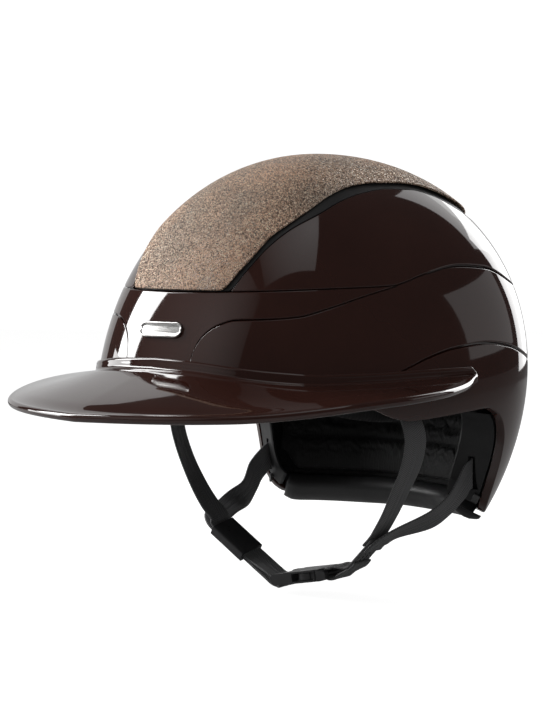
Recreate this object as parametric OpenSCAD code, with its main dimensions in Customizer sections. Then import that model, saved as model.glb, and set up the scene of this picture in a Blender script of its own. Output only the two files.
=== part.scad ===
// Riding helmet with a wide brim, cover panels, foam liner and a four-point chin strap.
// Millimetres. +Z up, the front faces -Y and the wearer's left side is +X.
// The origin is the centre of the shell on the headband line.
// A place on the shell is written as (phi, psi, o): phi is the angle round the head
// from the front, psi the angle above the headband line, o the distance out of the skin.

/* [Shell] */
// Half length of the shell on the headband line
shell_a = 133; // [129:0.5:137]
// Half width of the shell before the egg shape is applied
shell_b = 110; // [107:0.5:114]
// Height of the crown above the headband line
crown_h = 137; // [132:0.5:142]
// Depth scale of the shell below the headband line
nape_h = 156; // [150:0.5:162]
// Thickness of the cover panels
panel_wall = 1.8; // [1.4:0.1:2.2]
// Thickness of the structural shell
shell_wall = 2.2; // [1.8:0.1:2.8]
// Thickness of the foam liner
foam_wall = 14; // [12:0.5:16]
// Clearance between two layers of the helmet
layer_gap = 0.7; // [0.6:0.05:0.9]
// Width of the seams between panels, in degrees of the shell
seam = 0.3; // [0.2:0.05:0.5]

/* [Brim] */
// Reach of the brim's lip from the origin, at the front
brim_reach = 187; // [180:1:194]
// Height of the lip's lower edge at the front
brim_z = -11; // [-14:0.5:-6]
// Thickness of the brim
brim_wall = 2.6; // [2:0.1:3.2]
// Height of the rounded lip
lip_h = 5; // [4.4:0.1:5.6]
// How far the collar bead stands out of the panels
bead = 1.6; // [1.2:0.1:2.2]
// Angle round the head at which the brim ends
brim_end = 104; // [100:0.5:107]

/* [Top insert] */
// Thickness of the textured insert
insert_wall = 1.2; // [0.9:0.1:1.5]
// How far the insert's face stands above the panels
insert_proud = 1.6; // [1.3:0.1:2]
// Extra lift of the insert's tail over the air outlet
tail_lift = 0.8; // [0.4:0.1:1.6]

/* [Comfort liner] */
// Thickness of the headband pad
pad_t = 7; // [5:0.5:8]
// Thickness of the crown pad
crown_pad_t = 5; // [4:0.5:7]
// Thickness of the occipital pad
nape_pad_t = 7.5; // [6:0.5:9]

/* [Harness] */
// Width of the webbing
web_w = 15; // [14:0.5:16]
// Thickness of the webbing
web_t = 1.5; // [1.3:0.1:1.6]
// Running clearance of webbing and of moving plastic
run = 0.3; // [0.25:0.05:0.4]
// Length of the right strap divider
divider_l = 27; // [24:0.5:30]
// Wall of the strap divider
divider_wall = 1.4; // [1.2:0.1:1.8]

/* [Buckle] */
// Width of the buckle
buckle_w = 22; // [21:0.5:24]
// Height of the buckle
buckle_h = 7.2; // [6.8:0.1:8]
// Thickness of the buckle's top and bottom plates
buckle_plate = 1.2; // [1:0.1:1.4]
// Radius of the bars that the webbing turns round
bar_r = 1.4; // [1.2:0.1:1.6]

/* [Hidden] */

// Shape of the shell: egg and squareness of its plan, lean of its crown to the rear
egg = 0.2;
square_x = 0.07;
square_y = 0.04;
broad = 0.03;
lean = 18;
lean_back = 8;

// Seam lines and edges on the shell, each a list of [phi, psi]
upper_seam = [[0, 24.3], [30, 24.7], [60, 25.3], [80, 25.8], [92, 28.8], [104, 30.7], [116, 30],
              [130, 26], [150, 22.5], [180, 21]];
front_seam = [[13.5, 8], [15, 11.8], [18, 14.6], [22, 16.4], [28, 17.6], [40, 17.9], [50, 18.4],
              [60, 20.3], [70, 22.8], [82, 25.6]];
lower_seam = [[0, 6], [30, 5], [60, 3.6], [76, 3.8], [84, 6.2], [90, 8.4], [98, 10.3], [108, 11.1],
              [118, 10.2], [128, 8], [140, 5.6], [160, 4.4], [180, 4]];
collar_line = [[0, 8.5], [15, 8.1], [30, 7.1], [45, 6.1], [60, 5.4], [75, 5.4], [90, 5.7], [110, 5.8]];
insert_edge = [[0, 24.6], [20, 24.7], [21.5, 25.3], [25, 28.9], [30, 33.9], [35, 39.2], [42, 43.4],
               [51, 48.4], [62, 54.4], [75, 58.7], [90, 60.4], [104, 60.4], [116, 59],
               [125, 55.8], [135, 51.5], [150, 46.5], [165, 43.5], [180, 42.5]];
recess_edge = [[0, 24.4], [22.9, 24.7], [28, 29.7], [35, 36.7], [43.5, 42.2], [56, 47.5],
               [67.5, 52.7], [80, 56.2], [94, 58.1], [107, 57.8], [118, 55], [128.5, 48.6],
               [140, 44], [155, 40], [180, 37.5]];
// Rear edge of the ear notch, a list of [psi, phi], and the shell's rim before and after it
notch_edge = [[-30, 134], [-28.5, 130], [-26, 127], [-22, 124.5], [-16, 122.5], [-12, 121],
              [-9, 119], [-7, 117], [-5.4, 114.6]];
rim_front = [[0, 2], [40, 0.5], [70, -1.2], [76, -3], [81, -4.8], [86, -5.7], [96, -5.1], [104, -4.4],
             [110, -4]];
rim_rear = [[142, -30.6], [160, -30.6], [180, -30.3]];
// The foam stays this far inside the rim: at the front, at the side, past the notch, at the rear
foam_rim = [[0, 4], [40, 2.6], [70, -0.5], [86, -1.6], [100, -1.2], [112, -0.6], [117, -1.5],
            [119.6, -4], [121.2, -7], [123.2, -12], [124.7, -16], [126.7, -22], [129.2, -25.8],
            [133, -28], [145, -28.8], [180, -28.4]];
pad_low = [[0, 2.5], [30, 1.5], [60, -3.5], [75, -6.4], [86, -7.4], [98, -6.2], [110, -4]];

// Stations round the head, for the panels and for the rim
top_half = [0, 7, 14, 20, 23, 26, 30, 35, 41, 48, 56, 64, 72, 80, 88, 96, 104, 112, 120, 128, 137,
            146, 155, 164, 172, 180];
rim_half = [0, 9, 18, 27, 36, 45, 54, 63, 72, 80, 88, 96, 103, 109, 114.6, 117, 119, 121, 122.5,
            124.5, 127, 130, 134, 142, 151, 160, 170, 180];

function mirrored(half) = concat(half, [for (i = [len(half) - 2:-1:1]) 360 - half[i]]);
top_ring = mirrored(top_half);
rim_ring = mirrored(rim_half);

// Smooth curve through a list of [x, y]
function last_before(k, x) = max([0, for (j = [0:len(k) - 2]) if (k[j][0] <= x) j]);
function slope(p, q) = (q[1] - p[1]) / (q[0] - p[0]);
function curve(k, x) = let(
    i = last_before(k, x), p = k[i], q = k[i + 1], h = q[0] - p[0], t = (x - p[0]) / h,
    d = slope(p, q), m0 = i > 0 ? soft(slope(k[i - 1], p), d) : d,
    m1 = i + 2 < len(k) ? soft(d, slope(q, k[i + 2])) : d)
    p[1] * (1 + 2 * t) * (1 - t) ^ 2 + q[1] * t ^ 2 * (3 - 2 * t)
    + h * (m0 * t * (1 - t) ^ 2 - m1 * t ^ 2 * (1 - t));
// Slope at a knot, flat where the curve turns back
function soft(a, b) = a * b <= 0 ? 0 : 2 * a * b / (a + b);
// A line on the shell, the same on both sides
function fold(phi) = phi > 180 ? 360 - phi : phi;
function seam_at(k, phi) = curve(k, fold(phi < 0 ? -phi : phi));

rim_line = concat(rim_front, [for (i = [len(notch_edge) - 1:-1:0]) [notch_edge[i][1], notch_edge[i][0]]],
                  rim_rear);

// Point of the shell
function dome(phi, psi, o = 0) = let(
    s = sin(psi), c = cos(psi), a = shell_a + o, b = shell_b + o,
    mean = (crown_h + nape_h) / 2 + o, half = (crown_h - nape_h) / 2)
    [b * c * (sin(phi) * (1 - egg * cos(phi)) + square_x * sin(3 * phi)),
     lean * s - lean_back * s * s
     - a * c * (cos(phi) - square_y * cos(3 * phi) + broad * (1 - cos(2 * phi))),
     (mean + half * s) * s];

function mix(a, b, t) = a + (b - a) * t;
radian = 180 / PI;
function unit(v) = v / norm(v);
function smooth_step(t) = let(u = min(1, max(0, t))) u * u * (3 - 2 * u);

// Offsets of the layers
pad_gap = 1.1;
shell_out = -panel_wall - layer_gap;
shell_in = shell_out - shell_wall;
foam_out = shell_in - layer_gap - 0.2;
foam_in = foam_out - foam_wall;
pad_out = foam_in - pad_gap;

// Closed surface through a list of loops with the same number of points
module skin(loops, closed = false) {
    n = len(loops[0]);
    m = len(loops);
    last = closed ? m - 1 : m - 2;
    sides = [for (i = [0:last], j = [0:n - 1]) let(
        a = i * n + j, b = i * n + (j + 1) % n,
        c = ((i + 1) % m) * n + (j + 1) % n, d = ((i + 1) % m) * n + j)
        each [[a, b, c], [a, c, d]]];
    caps = closed ? [] : [[for (j = [n - 1:-1:0]) j], [for (j = [0:n - 1]) (m - 1) * n + j]];
    polyhedron([for (l = loops) each l], concat(sides, caps), convexity = 8);
}

// Fractions across a panel: a short step at each end makes its bevelled edge
function bevel_steps(n, e) = concat([0], [for (j = [0:n - 2]) mix(e, 1 - e, j / (n - 2))], [1]);
function panel_section(phi, lo, hi, inner, outer, n, edge = 0.35, drop = 0.5) = let(
    e = min(0.3, edge / max(0.1, hi - lo)), f = bevel_steps(n, e))
    concat([for (j = [0:n]) dome(phi, mix(lo, hi, f[j]), outer - (j == 0 || j == n ? drop : 0))],
           [for (j = [n:-1:0]) dome(phi, mix(lo, hi, f[j]), inner)]);

// The surfaces close over the crown just short of its pole
pole = 88;
crown_rows = 10;

// Structural shell: bare below the lower seam, stepped in under the panels
shell_colour = [0.17, 0.09, 0.08];
black = [0.06, 0.06, 0.065];
module outer_shell() color(shell_colour) {
    rows_low = 5;
    rows_up = 8;
    step = 0.35;
    skin(concat(
        [for (j = [0:rows_up]) [for (p = rim_ring) let(top = seam_at(lower_seam, p) - seam + step)
            dome(p, mix(pole, top, j / rows_up), shell_out)]],
        [for (j = [0:rows_low]) [for (p = rim_ring) let(
            rim = seam_at(rim_line, p), top = seam_at(lower_seam, p) - seam)
            dome(p, mix(top, rim, j / rows_low), j == rows_low ? -0.6 : 0)]],
        [for (j = [crown_rows:-1:0]) [for (p = rim_ring) let(rim = seam_at(rim_line, p))
            dome(p, mix(pole, rim, j / crown_rows), shell_in)]]));
}

// Painted cover over the sides and the back of the crown, open for the top insert
module upper_cover() color(shell_colour) {
    start = 24;
    skin([for (p = concat([start], [for (q = top_ring) if (fold(q) > start) q], [360 - start]))
        panel_section(p, seam_at(upper_seam, p) + seam * vent(p),
                      seam_at(recess_edge, p) - seam / 2, -panel_wall, 0, 7)]);
}
// The seams open towards the rear into narrow air slots
function vent(phi) = 0.6 + 1.6 * smooth_step((fold(phi) - 84) / 30);

// T-shaped panel over the forehead, its arms taper back over the temples
front_end = 81;
module front_panel() color(shell_colour) {
    phis = [for (i = [len(top_half) - 1:-1:1]) if (top_half[i] < front_end) -top_half[i],
            for (p = top_half) if (p < front_end) p];
    corner = [13, 13.8, 14.8, 17];
    all = sorted(concat([for (p = phis) if (abs(p) < 12 || abs(p) > 15) p], corner, -corner));
    skin([for (p = all) panel_section(p, front_low(abs(p)), seam_at(upper_seam, p) - seam / 3,
                                      -panel_wall, 0, 5)]);
}
function front_low(phi) =
    seam + (phi < front_seam[0][0] ? seam_at(lower_seam, phi) : curve(front_seam, phi));
function sorted(v) = len(v) < 2 ? v : let(p = v[0], rest = [for (i = [1:len(v) - 1]) v[i]])
    concat(sorted([for (x = rest) if (x < p) x]), [p], sorted([for (x = rest) if (x >= p) x]));

// Band that sweeps from the brim round the back of the head
band_start = 13.8;
module mid_band() color(shell_colour) {
    half = sorted(concat([band_start, 14.8, 17], [for (p = top_half) if (p > 18) p]));
    phis = mirrored_band(half);
    skin([for (p = phis) let(f = fold(p))
        panel_section(p, seam_at(lower_seam, p) + seam * (f < 84 ? 0 : vent(p) / 2),
                      f < 82 ? curve(front_seam, f) : seam_at(upper_seam, f) - seam / 2,
                      -panel_wall, 0, 5)]);
}
function mirrored_band(half) = concat(half, [for (i = [len(half) - 2:-1:0]) 360 - half[i]]);

// Black frame under the top insert, it lies in the recess and shows as a dark border
base_face = -0.5;
base_width = 13;
module insert_base() color(black) {
    rows = 2;
    f = [for (j = [0:rows]) j / rows];
    skin([for (p = top_ring) let(lo = seam_at(recess_edge, p) + seam / 2 + 0.1, hi = lo + base_width)
        concat([for (t = f) dome(p, mix(lo, hi, t), base_face)],
               [for (t = [1, 0.5, 0]) dome(p, mix(lo, hi, t), -panel_wall)])], closed = true);
}

// Textured insert, its tail is lifted over the air outlet
module top_insert() color([0.5, 0.4, 0.34]) {
    n = 6;
    skin(concat(
        [for (j = [0:n]) [for (p = top_ring) insert_point(p, j / n, insert_proud - (j == n ? 0.4 : 0))]],
        [for (j = [n:-1:0]) [for (p = top_ring) insert_point(p, j / n, insert_proud - insert_wall)]]));
}
function insert_point(phi, t, o) = let(
    psi = mix(pole, seam_at(insert_edge, phi), t), flat = dome(phi, psi, o),
    lift = tail_lift * smooth_step((flat[1] - 10) / 90)) dome(phi, psi, o + lift);

// Plain metal badge plate on the forehead
badge_w = 34;
badge_h = 10;
badge_t = 1.6;
badge_psi = 15;
module front_badge() color([0.75, 0.75, 0.77]) {
    half_phi = badge_w / 2 / shell_b * radian / (1 - egg + 3 * square_x);
    half_psi = badge_h / 2 / nape_h * radian;
    steps = [-1, -0.93, -0.8, -0.6, -0.3, 0, 0.3, 0.6, 0.8, 0.93, 1];
    round_end = badge_h / badge_w;
    skin([for (s = steps) let(
        in_end = max(0, (abs(s) - (1 - round_end)) / round_end),
        h = half_psi * max(0.12, sqrt(max(0, 1 - in_end * in_end))))
        concat([for (v = [-1, -0.8, 0, 0.8, 1])
                   dome(s * half_phi, badge_psi + v * h, run + badge_t - (abs(v) == 1 ? 0.5 : 0))],
               [for (v = [1, 0.8, 0, -0.8, -1]) dome(s * half_phi, badge_psi + v * h, run)])]);
}

// Brim: collar bead on the panels, concave sweep, rounded lip
lip_reach = [[0, brim_reach], [30, brim_reach - 7], [60, brim_reach - 29], [75, brim_reach - 45.5],
             [90, brim_reach - 62], [104, brim_reach - 73], [112, brim_reach - 75]];
lip_low = [[0, brim_z], [30, brim_z + 2], [60, brim_z + 9.4], [90, brim_z + 13.6], [104, brim_z + 17],
           [112, brim_z + 17.6]];
module visor() color(shell_colour) {
    half = [0, 7, 14, 21, 28, 35, 42, 49, 56, 63, 70, 77, 84, 89, 94,
            brim_end - 5, brim_end - 2, brim_end - 0.8, brim_end];
    phis = concat([for (i = [len(half) - 1:-1:1]) -half[i]], half);
    skin([for (p = phis) visor_section(p)]);
}
function bez(a, b, c, d, t) = a * (1 - t) ^ 3 + 3 * b * t * (1 - t) ^ 2 + 3 * c * t ^ 2 * (1 - t) + d * t ^ 3;
function radial(q, r, z) = [r * sin(q), -r * cos(q), z];
function visor_section(phi) = let(
    fit = 0.4, top = seam_at(collar_line, phi), foot = top - 4.2,
    root = dome(phi, top - 2, fit + bead), q = atan2(root[0], -root[1]), r0 = norm([root[0], root[1]]),
    r1 = max(r0 + 1.2, curve(lip_reach, abs(q))), z1 = curve(lip_low, abs(q)), w = r1 - r0,
    k = min(1, w / 14), r_end = r1 - 3 * k, z_end = z1 + lip_h, drop = root[2] - z_end,
    wr = r_end - r0,
    sweep = [for (t = [0.12, 0.25, 0.4, 0.55, 0.7, 0.85, 1])
        [bez(r0, r0 + 0.31 * wr, r0 + 0.67 * wr, r_end, t),
         bez(root[2], root[2] - 0.32 * drop, z_end + 0.45 * drop, z_end, t)]],
    nose = [[r1 - 0.9 * k, z1 + 0.88 * lip_h], [r1, z1 + 0.6 * lip_h], [r1 - 0.3 * k, z1 + 0.2 * lip_h],
            [r1 - 1.6 * k, z1], [r1 - 3.4 * k, z1 + 0.12 * lip_h]],
    under = [for (i = [5, 4, 2, 0]) [min(sweep[i][0], r1 - 4 * k - 0.4 * (6 - i)),
                                    sweep[i][1] - mix(brim_wall + 0.6, brim_wall, i / 5)]],
    fade = smooth_step((brim_end - abs(phi)) / 1.6),
    loop = concat(
        [dome(phi, top, fit), dome(phi, top, fit + 0.6 * bead), dome(phi, top - 0.35, fit + bead),
         dome(phi, top - 0.9, fit + bead), dome(phi, top - 1.4, fit + bead), root],
        [for (s = sweep) radial(q, s[0], s[1])],
        [for (s = nose) radial(q, s[0], s[1])],
        [for (s = under) radial(q, s[0], s[1])],
        [dome(phi, foot, fit + 0.8), dome(phi, foot, fit)]),
    mid = dome(phi, top - 2, fit + 1))
    [for (i = [len(loop) - 1:-1:0]) mix(mid, loop[i], mix(0.45, 1, fade))];

// Foam liner
module foam_liner() color([0.1, 0.1, 0.11])
    skin(concat(
        [for (j = [0:crown_rows]) [for (p = rim_ring)
            dome(p, mix(pole, seam_at(foam_rim, p), j / crown_rows), foam_out)]],
        [for (j = [crown_rows:-1:0]) [for (p = rim_ring)
            dome(p, mix(pole, seam_at(foam_rim, p), j / crown_rows), foam_in)]]));

// Black edge strip under the foam, from ear to ear round the front
module liner_trim() color(black) {
    phis = [for (i = [len(rim_half) - 1:-1:1]) if (rim_half[i] < 112) -rim_half[i],
            for (p = rim_half) if (p < 112) p];
    skin([for (p = phis) let(e = seam_at(foam_rim, p) - 0.15)
        [dome(p, e, foam_in + 0.1), dome(p, e - 0.5, foam_in + 0.3), dome(p, e - 0.8, foam_in + 1.2),
         dome(p, e - 0.7, foam_out - 0.2), dome(p, e, foam_out - 0.2)]]);
}

// Rolled trim under the back of the shell and of the foam
trim_out = -0.6;
module nape_trim() color(black) {
    phis = [for (p = rim_half) if (p >= 134) p];
    skin([for (p = mirrored_band(phis)) let(
        e = seam_at(rim_line, p), f = seam_at(foam_rim, p), s = smooth_step((fold(p) - 130) / 8),
        low = e - 0.6 - 1.6 * s)
        [dome(p, e - 1.1, shell_in - 0.6), dome(p, f - 0.4, shell_in - 0.6), dome(p, f - 0.7, foam_in - 2.6),
         dome(p, mix(e, low, 0.1), foam_in - 3), dome(p, mix(e, low, 0.7), foam_in - 2),
         dome(p, low - 0.1, foam_in + 2), dome(p, low, trim_out - 2), dome(p, mix(e, low, 0.7), trim_out),
         dome(p, e - 1.1, trim_out)]]);
}

// Cushion cross-section: flat to the foam, crowned inside, drawn in at its edges
function cushion(phi, lo, hi, t, ribs) = let(
    n = 8, back = [for (j = [0:2]) dome(phi, mix(lo, hi, 0.08 + 0.42 * j), pad_out)])
    concat(back, [for (j = [n:-1:0]) let(
        u = j / n, rise = 1 - abs(2 * u - 1) ^ 3.5, quilt = 1 - 0.16 * (1 - abs(sin(180 * ribs * u))) ^ 2)
        dome(phi, mix(lo, hi, u), pad_out - 0.8 - (t - 0.8) * rise * quilt)]);

// Headband pad, sewn into blocks by channels
pad_height = 15;
module headband_pad() color(black) {
    end = 110;
    phis = [for (i = [-20:20]) i * end / 20];
    skin([for (p = phis) let(
        lo = seam_at(pad_low, p), hi = lo + pad_height, block = abs(sin(180 * p / 22)),
        ends = 0.35 + 0.65 * smooth_step((end - abs(p)) / 9), t = pad_t * (0.72 + 0.28 * block ^ 0.5) * ends)
        cushion(p, mix((lo + hi) / 2, lo, 0.6 + 0.4 * ends),
                mix((lo + hi) / 2, hi, 0.6 + 0.4 * ends), t, 1)]);
}

// Occipital pad behind the head, with three ribs
module occipital_pad() color(black) {
    start = 129;
    phis = [for (i = [0:24]) mix(start, 360 - start, i / 24)];
    skin([for (p = phis) let(
        near_end = smooth_step((fold(p) - start) / 10), lo = mix(-14, -27.2, 0.55 + 0.45 * near_end),
        hi = mix(-14, 0, 0.55 + 0.45 * near_end), t = nape_pad_t * (0.3 + 0.7 * near_end))
        cushion(p, lo, hi, t, 3)]);
}

// Round crown pad with four channels
module crown_pad() color(black) {
    n = 6;
    edge = 60;
    phis = [for (i = [0:35]) i * 10];
    skin(concat(
        [for (j = [0:n]) [for (p = phis) dome(p, mix(pole, edge + 1, j / n), pad_out)]],
        [for (j = [n:-1:0]) let(u = j / n) [for (p = phis) let(
            channel = 1 - 0.3 * (1 - abs(sin(2 * p))) ^ 3 * u, rise = 1 - u ^ 4)
            dome(p, mix(pole, edge, u), pad_out - 0.8 - (crown_pad_t - 0.8) * rise * channel)]]));
}

// Cover on the rear face of the ear notch, with the slot of the rear strap
slot_psi = -21.75;
slot_o = -13;
slot_l = web_w + 5;
slot_t = 3.6;
cover_lift = 0.35;
cover_t = 1.35;
cover_gap = 1.2;
module notch_cover() color(black) difference() {
    psis = [for (i = [0:12]) mix(-29, -6, i / 12)];
    skin([for (s = psis) let(f = curve(notch_edge, s) + cover_lift, end = abs(s + 17.5) / 11.5,
                             in = foam_in - 5.6 + 1.4 * end ^ 4)
        [dome(f, s, shell_in - cover_gap), dome(f, s, in + 1), dome(f + cover_t / 3, s, in),
         dome(f + cover_t, s, in), dome(f + cover_t, s, shell_in - cover_gap)]]);
    translate(slot_centre) cube([slot_t, 14, slot_l], center = true);
}
// The pull towards the chin holds the webbing against the slot's inner edge
slot_side = run + web_t / 2 - slot_t / 2;
slot_centre = dome(curve(notch_edge, slot_psi) + cover_lift + cover_t / 2, slot_psi, slot_o);
module left_notch_cover() notch_cover();
module right_notch_cover() mirror([1, 0, 0]) notch_cover();

// Small moulded tab under each slot
tab_size = [4, 1.6, 4.5];
tab_psi = -27.4;
tab_o = -7;
module strap_tab() color([0.35, 0.35, 0.36]) {
    p = dome(curve(notch_edge, tab_psi) + cover_lift, tab_psi, tab_o);
    translate(p) rotate([0, 25, 33]) translate([0, -tab_size[1] / 2 - 4 * run, 0])
        cube(tab_size, center = true);
}
module left_strap_tab() strap_tab();
module right_strap_tab() mirror([1, 0, 0]) strap_tab();

// Anchor block of each front strap, between the shell and the edge of the foam
anchor = dome(88.3, -4.2, shell_in - 3.2);
anchor_size = [3.8, 20, 6.4];
anchor_turn = -11;
module anchor_block() color(black)
    translate(anchor) rotate([0, 0, anchor_turn]) difference() {
        union() {
            cube([anchor_size[0], anchor_size[1] - 3, anchor_size[2]], center = true);
            for (s = [-1, 1]) translate([0, s * (anchor_size[1] - 3) / 2, 0]) {
                cylinder(d = anchor_size[0], h = anchor_size[2], center = true, $fn = 32);
            }
        }
        translate([0, 0, -anchor_size[2] / 2]) cube([web_t + 2 * run, web_w + 2 * run, 8], center = true);
    }
module left_anchor() anchor_block();
module right_anchor() mirror([1, 0, 0]) anchor_block();

// Webbing: a ribbon along a list of [centre, width direction]. Where it is crossed on the
// slant, as in a slot, the section is as much longer as keeps the webbing's width.
function catmull(a, b, c, d, t) = 0.5 * (2 * b + (c - a) * t + (2 * a - 5 * b + 4 * c - d) * t * t
                                         + (3 * b - a - 3 * c + d) * t * t * t);
function along(r, i, t, f) = let(m = len(r) - 1)
    catmull(r[max(0, i - 1)][f], r[i][f], r[min(m, i + 1)][f], r[min(m, i + 2)][f], t);
module ribbon(route, steps = 2) {
    w = web_w;
    m = len(route) - 1;
    rows = [for (i = [0:m - 1], s = [0:steps - 1]) [for (f = [0, 1]) along(route, i, s / steps, f)],
            route[m]];
    skin([for (i = [0:len(rows) - 1]) let(
        p = rows[i][0], dir = unit(rows[min(i + 1, len(rows) - 1)][0] - rows[max(i - 1, 0)][0]),
        across = rows[i][1] - dir * (rows[i][1] * dir), v = rows[i][1] / norm(across),
        n = unit(cross(dir, across)), e = web_t / 2)
        [p - v * w / 2, p - v * (w / 2 - e) + n * e, p + v * (w / 2 - e) + n * e,
         p + v * w / 2, p + v * (w / 2 - e) - n * e, p - v * (w / 2 - e) - n * e]]);
}
// Chin planes: a place on one is (x, z) from the chin, leaned back by roll degrees
chin = [0, 3, -105];
function on_chin(p, roll) = chin + [p[0], -p[1] * sin(roll), p[1] * cos(roll)];
function chin_wide(roll) = [0, cos(roll), sin(roll)];
module chin_frame(roll) translate(chin) rotate([roll, 0, 0]) children();

// Divider on the right cheek, the two straps and the two runs of chin strap share it
divider_roll = 14;
divider_fall = 36;
divider_top = [-70, 15];
layer = web_t + run;
join_s = divider_l / 2;
cavity_h = 2 * web_t + 3 * run;
function on_divider(s, h) = on_chin(divider_top + s * [cos(divider_fall), -sin(divider_fall)]
                                    + h * [sin(divider_fall), cos(divider_fall)], divider_roll);
module strap_divider() color(black) chin_frame(divider_roll)
    translate([divider_top[0], 0, divider_top[1]]) rotate([0, divider_fall, 0]) rotate([90, 0, 90])
        linear_extrude(divider_l) difference() {
            union() {
                square([web_w + 2 * run + 2 * divider_wall, cavity_h], center = true);
                square([web_w + 2 * run, cavity_h + 2 * divider_wall], center = true);
                for (sx = [-1, 1], sy = [-1, 1])
                    translate([sx * (web_w / 2 + run), sy * cavity_h / 2]) circle(divider_wall, $fn = 24);
            }
            square([web_w + 2 * run, cavity_h], center = true);
        }

// Buckle: its own x runs from the ladder end to the release end
buckle_roll = 4;
buckle_tilt = 10;
buckle_at = [-3.2, -10.1];
function in_buckle(p) = buckle_at + [p[0] * cos(buckle_tilt) - p[1] * sin(buckle_tilt),
                                     p[0] * sin(buckle_tilt) + p[1] * cos(buckle_tilt)];
function on_buckle(p) = on_chin(in_buckle(p), buckle_roll);
module buckle_frame() chin_frame(buckle_roll) translate([buckle_at[0], 0, buckle_at[1]])
    rotate([0, -buckle_tilt, 0]) children();

// Stations along the buckle
ladder_x0 = -19.3;
block_x0 = -8.2;
window_x0 = -1;
window_x1 = 17.4;
mouth_x = 18.6;
base_x0 = mouth_x + run;
base_x1 = base_x0 + 3.1;
male_bar = [25.3, 0];
ladder_bar = [-11.9, -1.2];
end_bar = [-17, -2.4];
wrap_r = bar_r + run + web_t / 2;

// Sewn joint of the left straps, down to the bar tack
joint_top = [57.5, 17.5];
joint_dir = unit([-17.5, -16]);
joint_l = 26;
function in_joint(s, h) = joint_top + joint_dir * s + [-joint_dir[1], joint_dir[0]] * h;
function on_joint(s, h) = on_chin(in_joint(s, h), buckle_roll);
function arc2(c, r, a0, a1, n) = [for (i = [0:n]) c + r * [cos(mix(a0, a1, i / n)), sin(mix(a0, a1, i / n))]];
function with(places, wide) = [for (p = places) [p, wide]];

module left_strap_joint() color(black) {
    bar_at = in_buckle(male_bar + [0.9, 0]);
    ribbon(with(concat(
        [for (s = [0, 9, 18, joint_l]) on_joint(s, 0)],
        [for (p = concat([[34, -1.1], [29, -0.9], [25, -1.2]], arc2(bar_at, wrap_r + 0.9, 78, 282, 6),
                         [[26.8, -8.1], [31, -5.2], [35, -3.2]])) on_chin(p, buckle_roll)],
        [on_joint(joint_l - 1, layer), on_joint(joint_l - 6, layer)]), chin_wide(buckle_roll)), 1);
}

// Chin strap: from the divider round the ladder bar, under the end bar and back
module chin_strap() color(black) {
    upper = [for (s = [join_s + 1, divider_l - 1, divider_l + 4])
        [on_divider(s, layer / 2), chin_wide(divider_roll)]];
    lower = [for (s = [divider_l + 3, divider_l - 1, join_s + 1])
        [on_divider(s, -layer / 2), chin_wide(divider_roll)]];
    turn = [for (p = concat([[-26, 5], [-21.5, 1.8], [-16.8, 0.9]], arc2(ladder_bar, wrap_r, 95, -85, 5),
                            arc2(end_bar, wrap_r, -70, -130, 2), [[-22.5, -2.6], [-27.5, 1.6]]))
        on_buckle(p)];
    ribbon(concat(upper, with(turn, chin_wide(buckle_roll)), lower), 2);
}

// Each strap runs from the helmet down to the divider or to the joint
function in_slot(side, dy, dz) =
    [side * (slot_centre[0] + slot_side), slot_centre[1] + dy, slot_centre[2] + dz];
function from_slot(side, d) = in_slot(side, d[1], d[2]) + [side * d[0], 0, 0];
function at_anchor(side, d) = [side * (anchor[0] + d[0]), anchor[1] + d[1], anchor[2] + d[2]];
right_front_route = concat(
    [[at_anchor(-1, [0, 0, 0.6]), [-0.2, 1, 0]], [at_anchor(-1, [0.2, 0, -3.8]), [-0.2, 1, 0]],
     [at_anchor(-1, [2.2, 0, -9.8]), [-0.2, 1, 0]], [at_anchor(-1, [2.6, 0, -17.4]), [-0.22, 1, 0]],
     [[-94, -12, -39], [-0.22, 1, 0.05]], [[-89, -10.4, -52], [-0.2, 1, 0.1]],
     [[-82.6, -7.6, -66], [-0.12, 1, 0.16]], [[-77, -4.5, -76.5], [-0.05, 1, 0.2]],
     [[-72.4, -1.2, -83.6], [0, 1, 0.22]]],
    with([on_divider(-2.5, layer / 2 + 1.1), on_divider(0.5, layer / 2 + 0.12),
          on_divider(4, layer / 2 + 0.02),
          on_divider(join_s, layer / 2)], chin_wide(divider_roll)));
// Each rear strap turns flat, in its own plane, into the divider or the sewn joint
turn_r = web_w / 2 + 1.5;
function turn_s(a, back) = -turn_r * sin(a) - back * cos(a);
function turn_y(a, back) = turn_r * (1 - cos(a)) + back * sin(a);
divider_dir = on_chin([cos(divider_fall), -sin(divider_fall)], divider_roll) - chin;
joint_way = on_chin(joint_dir, buckle_roll) - chin;
function turning(a, h, back = 0) = [
    on_divider(-1 + turn_s(a, back), -layer / 2 - h) + turn_y(a, back) * chin_wide(divider_roll),
    sin(a) * divider_dir + cos(a) * chin_wide(divider_roll)];
function into_joint(a, h, back = 0) = [
    on_joint(5 + turn_s(a, back), layer + h) + turn_y(a, back) * chin_wide(buckle_roll),
    sin(a) * joint_way + cos(a) * chin_wide(buckle_roll)];
right_rear_route = concat(
    [[in_slot(-1, -0.4, -0.3), [0, 0, -1]], [from_slot(-1, [0.6, -4.4, -3.2]), [0, 0.1, -1]],
     [from_slot(-1, [2.4, -11.2, -10.4]), [0.05, 0.45, -0.85]],
     [from_slot(-1, [1.3, -20.4, -22]), [0, 0.65, -0.7]]],
    [turning(78, 1.6, 14), turning(77, 1.5, 6), turning(75, 1.3), turning(50, 0.7), turning(25, 0.3),
     turning(0, 0.08)],
    with([on_divider(5, -layer / 2), on_divider(join_s, -layer / 2)], chin_wide(divider_roll)));
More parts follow.
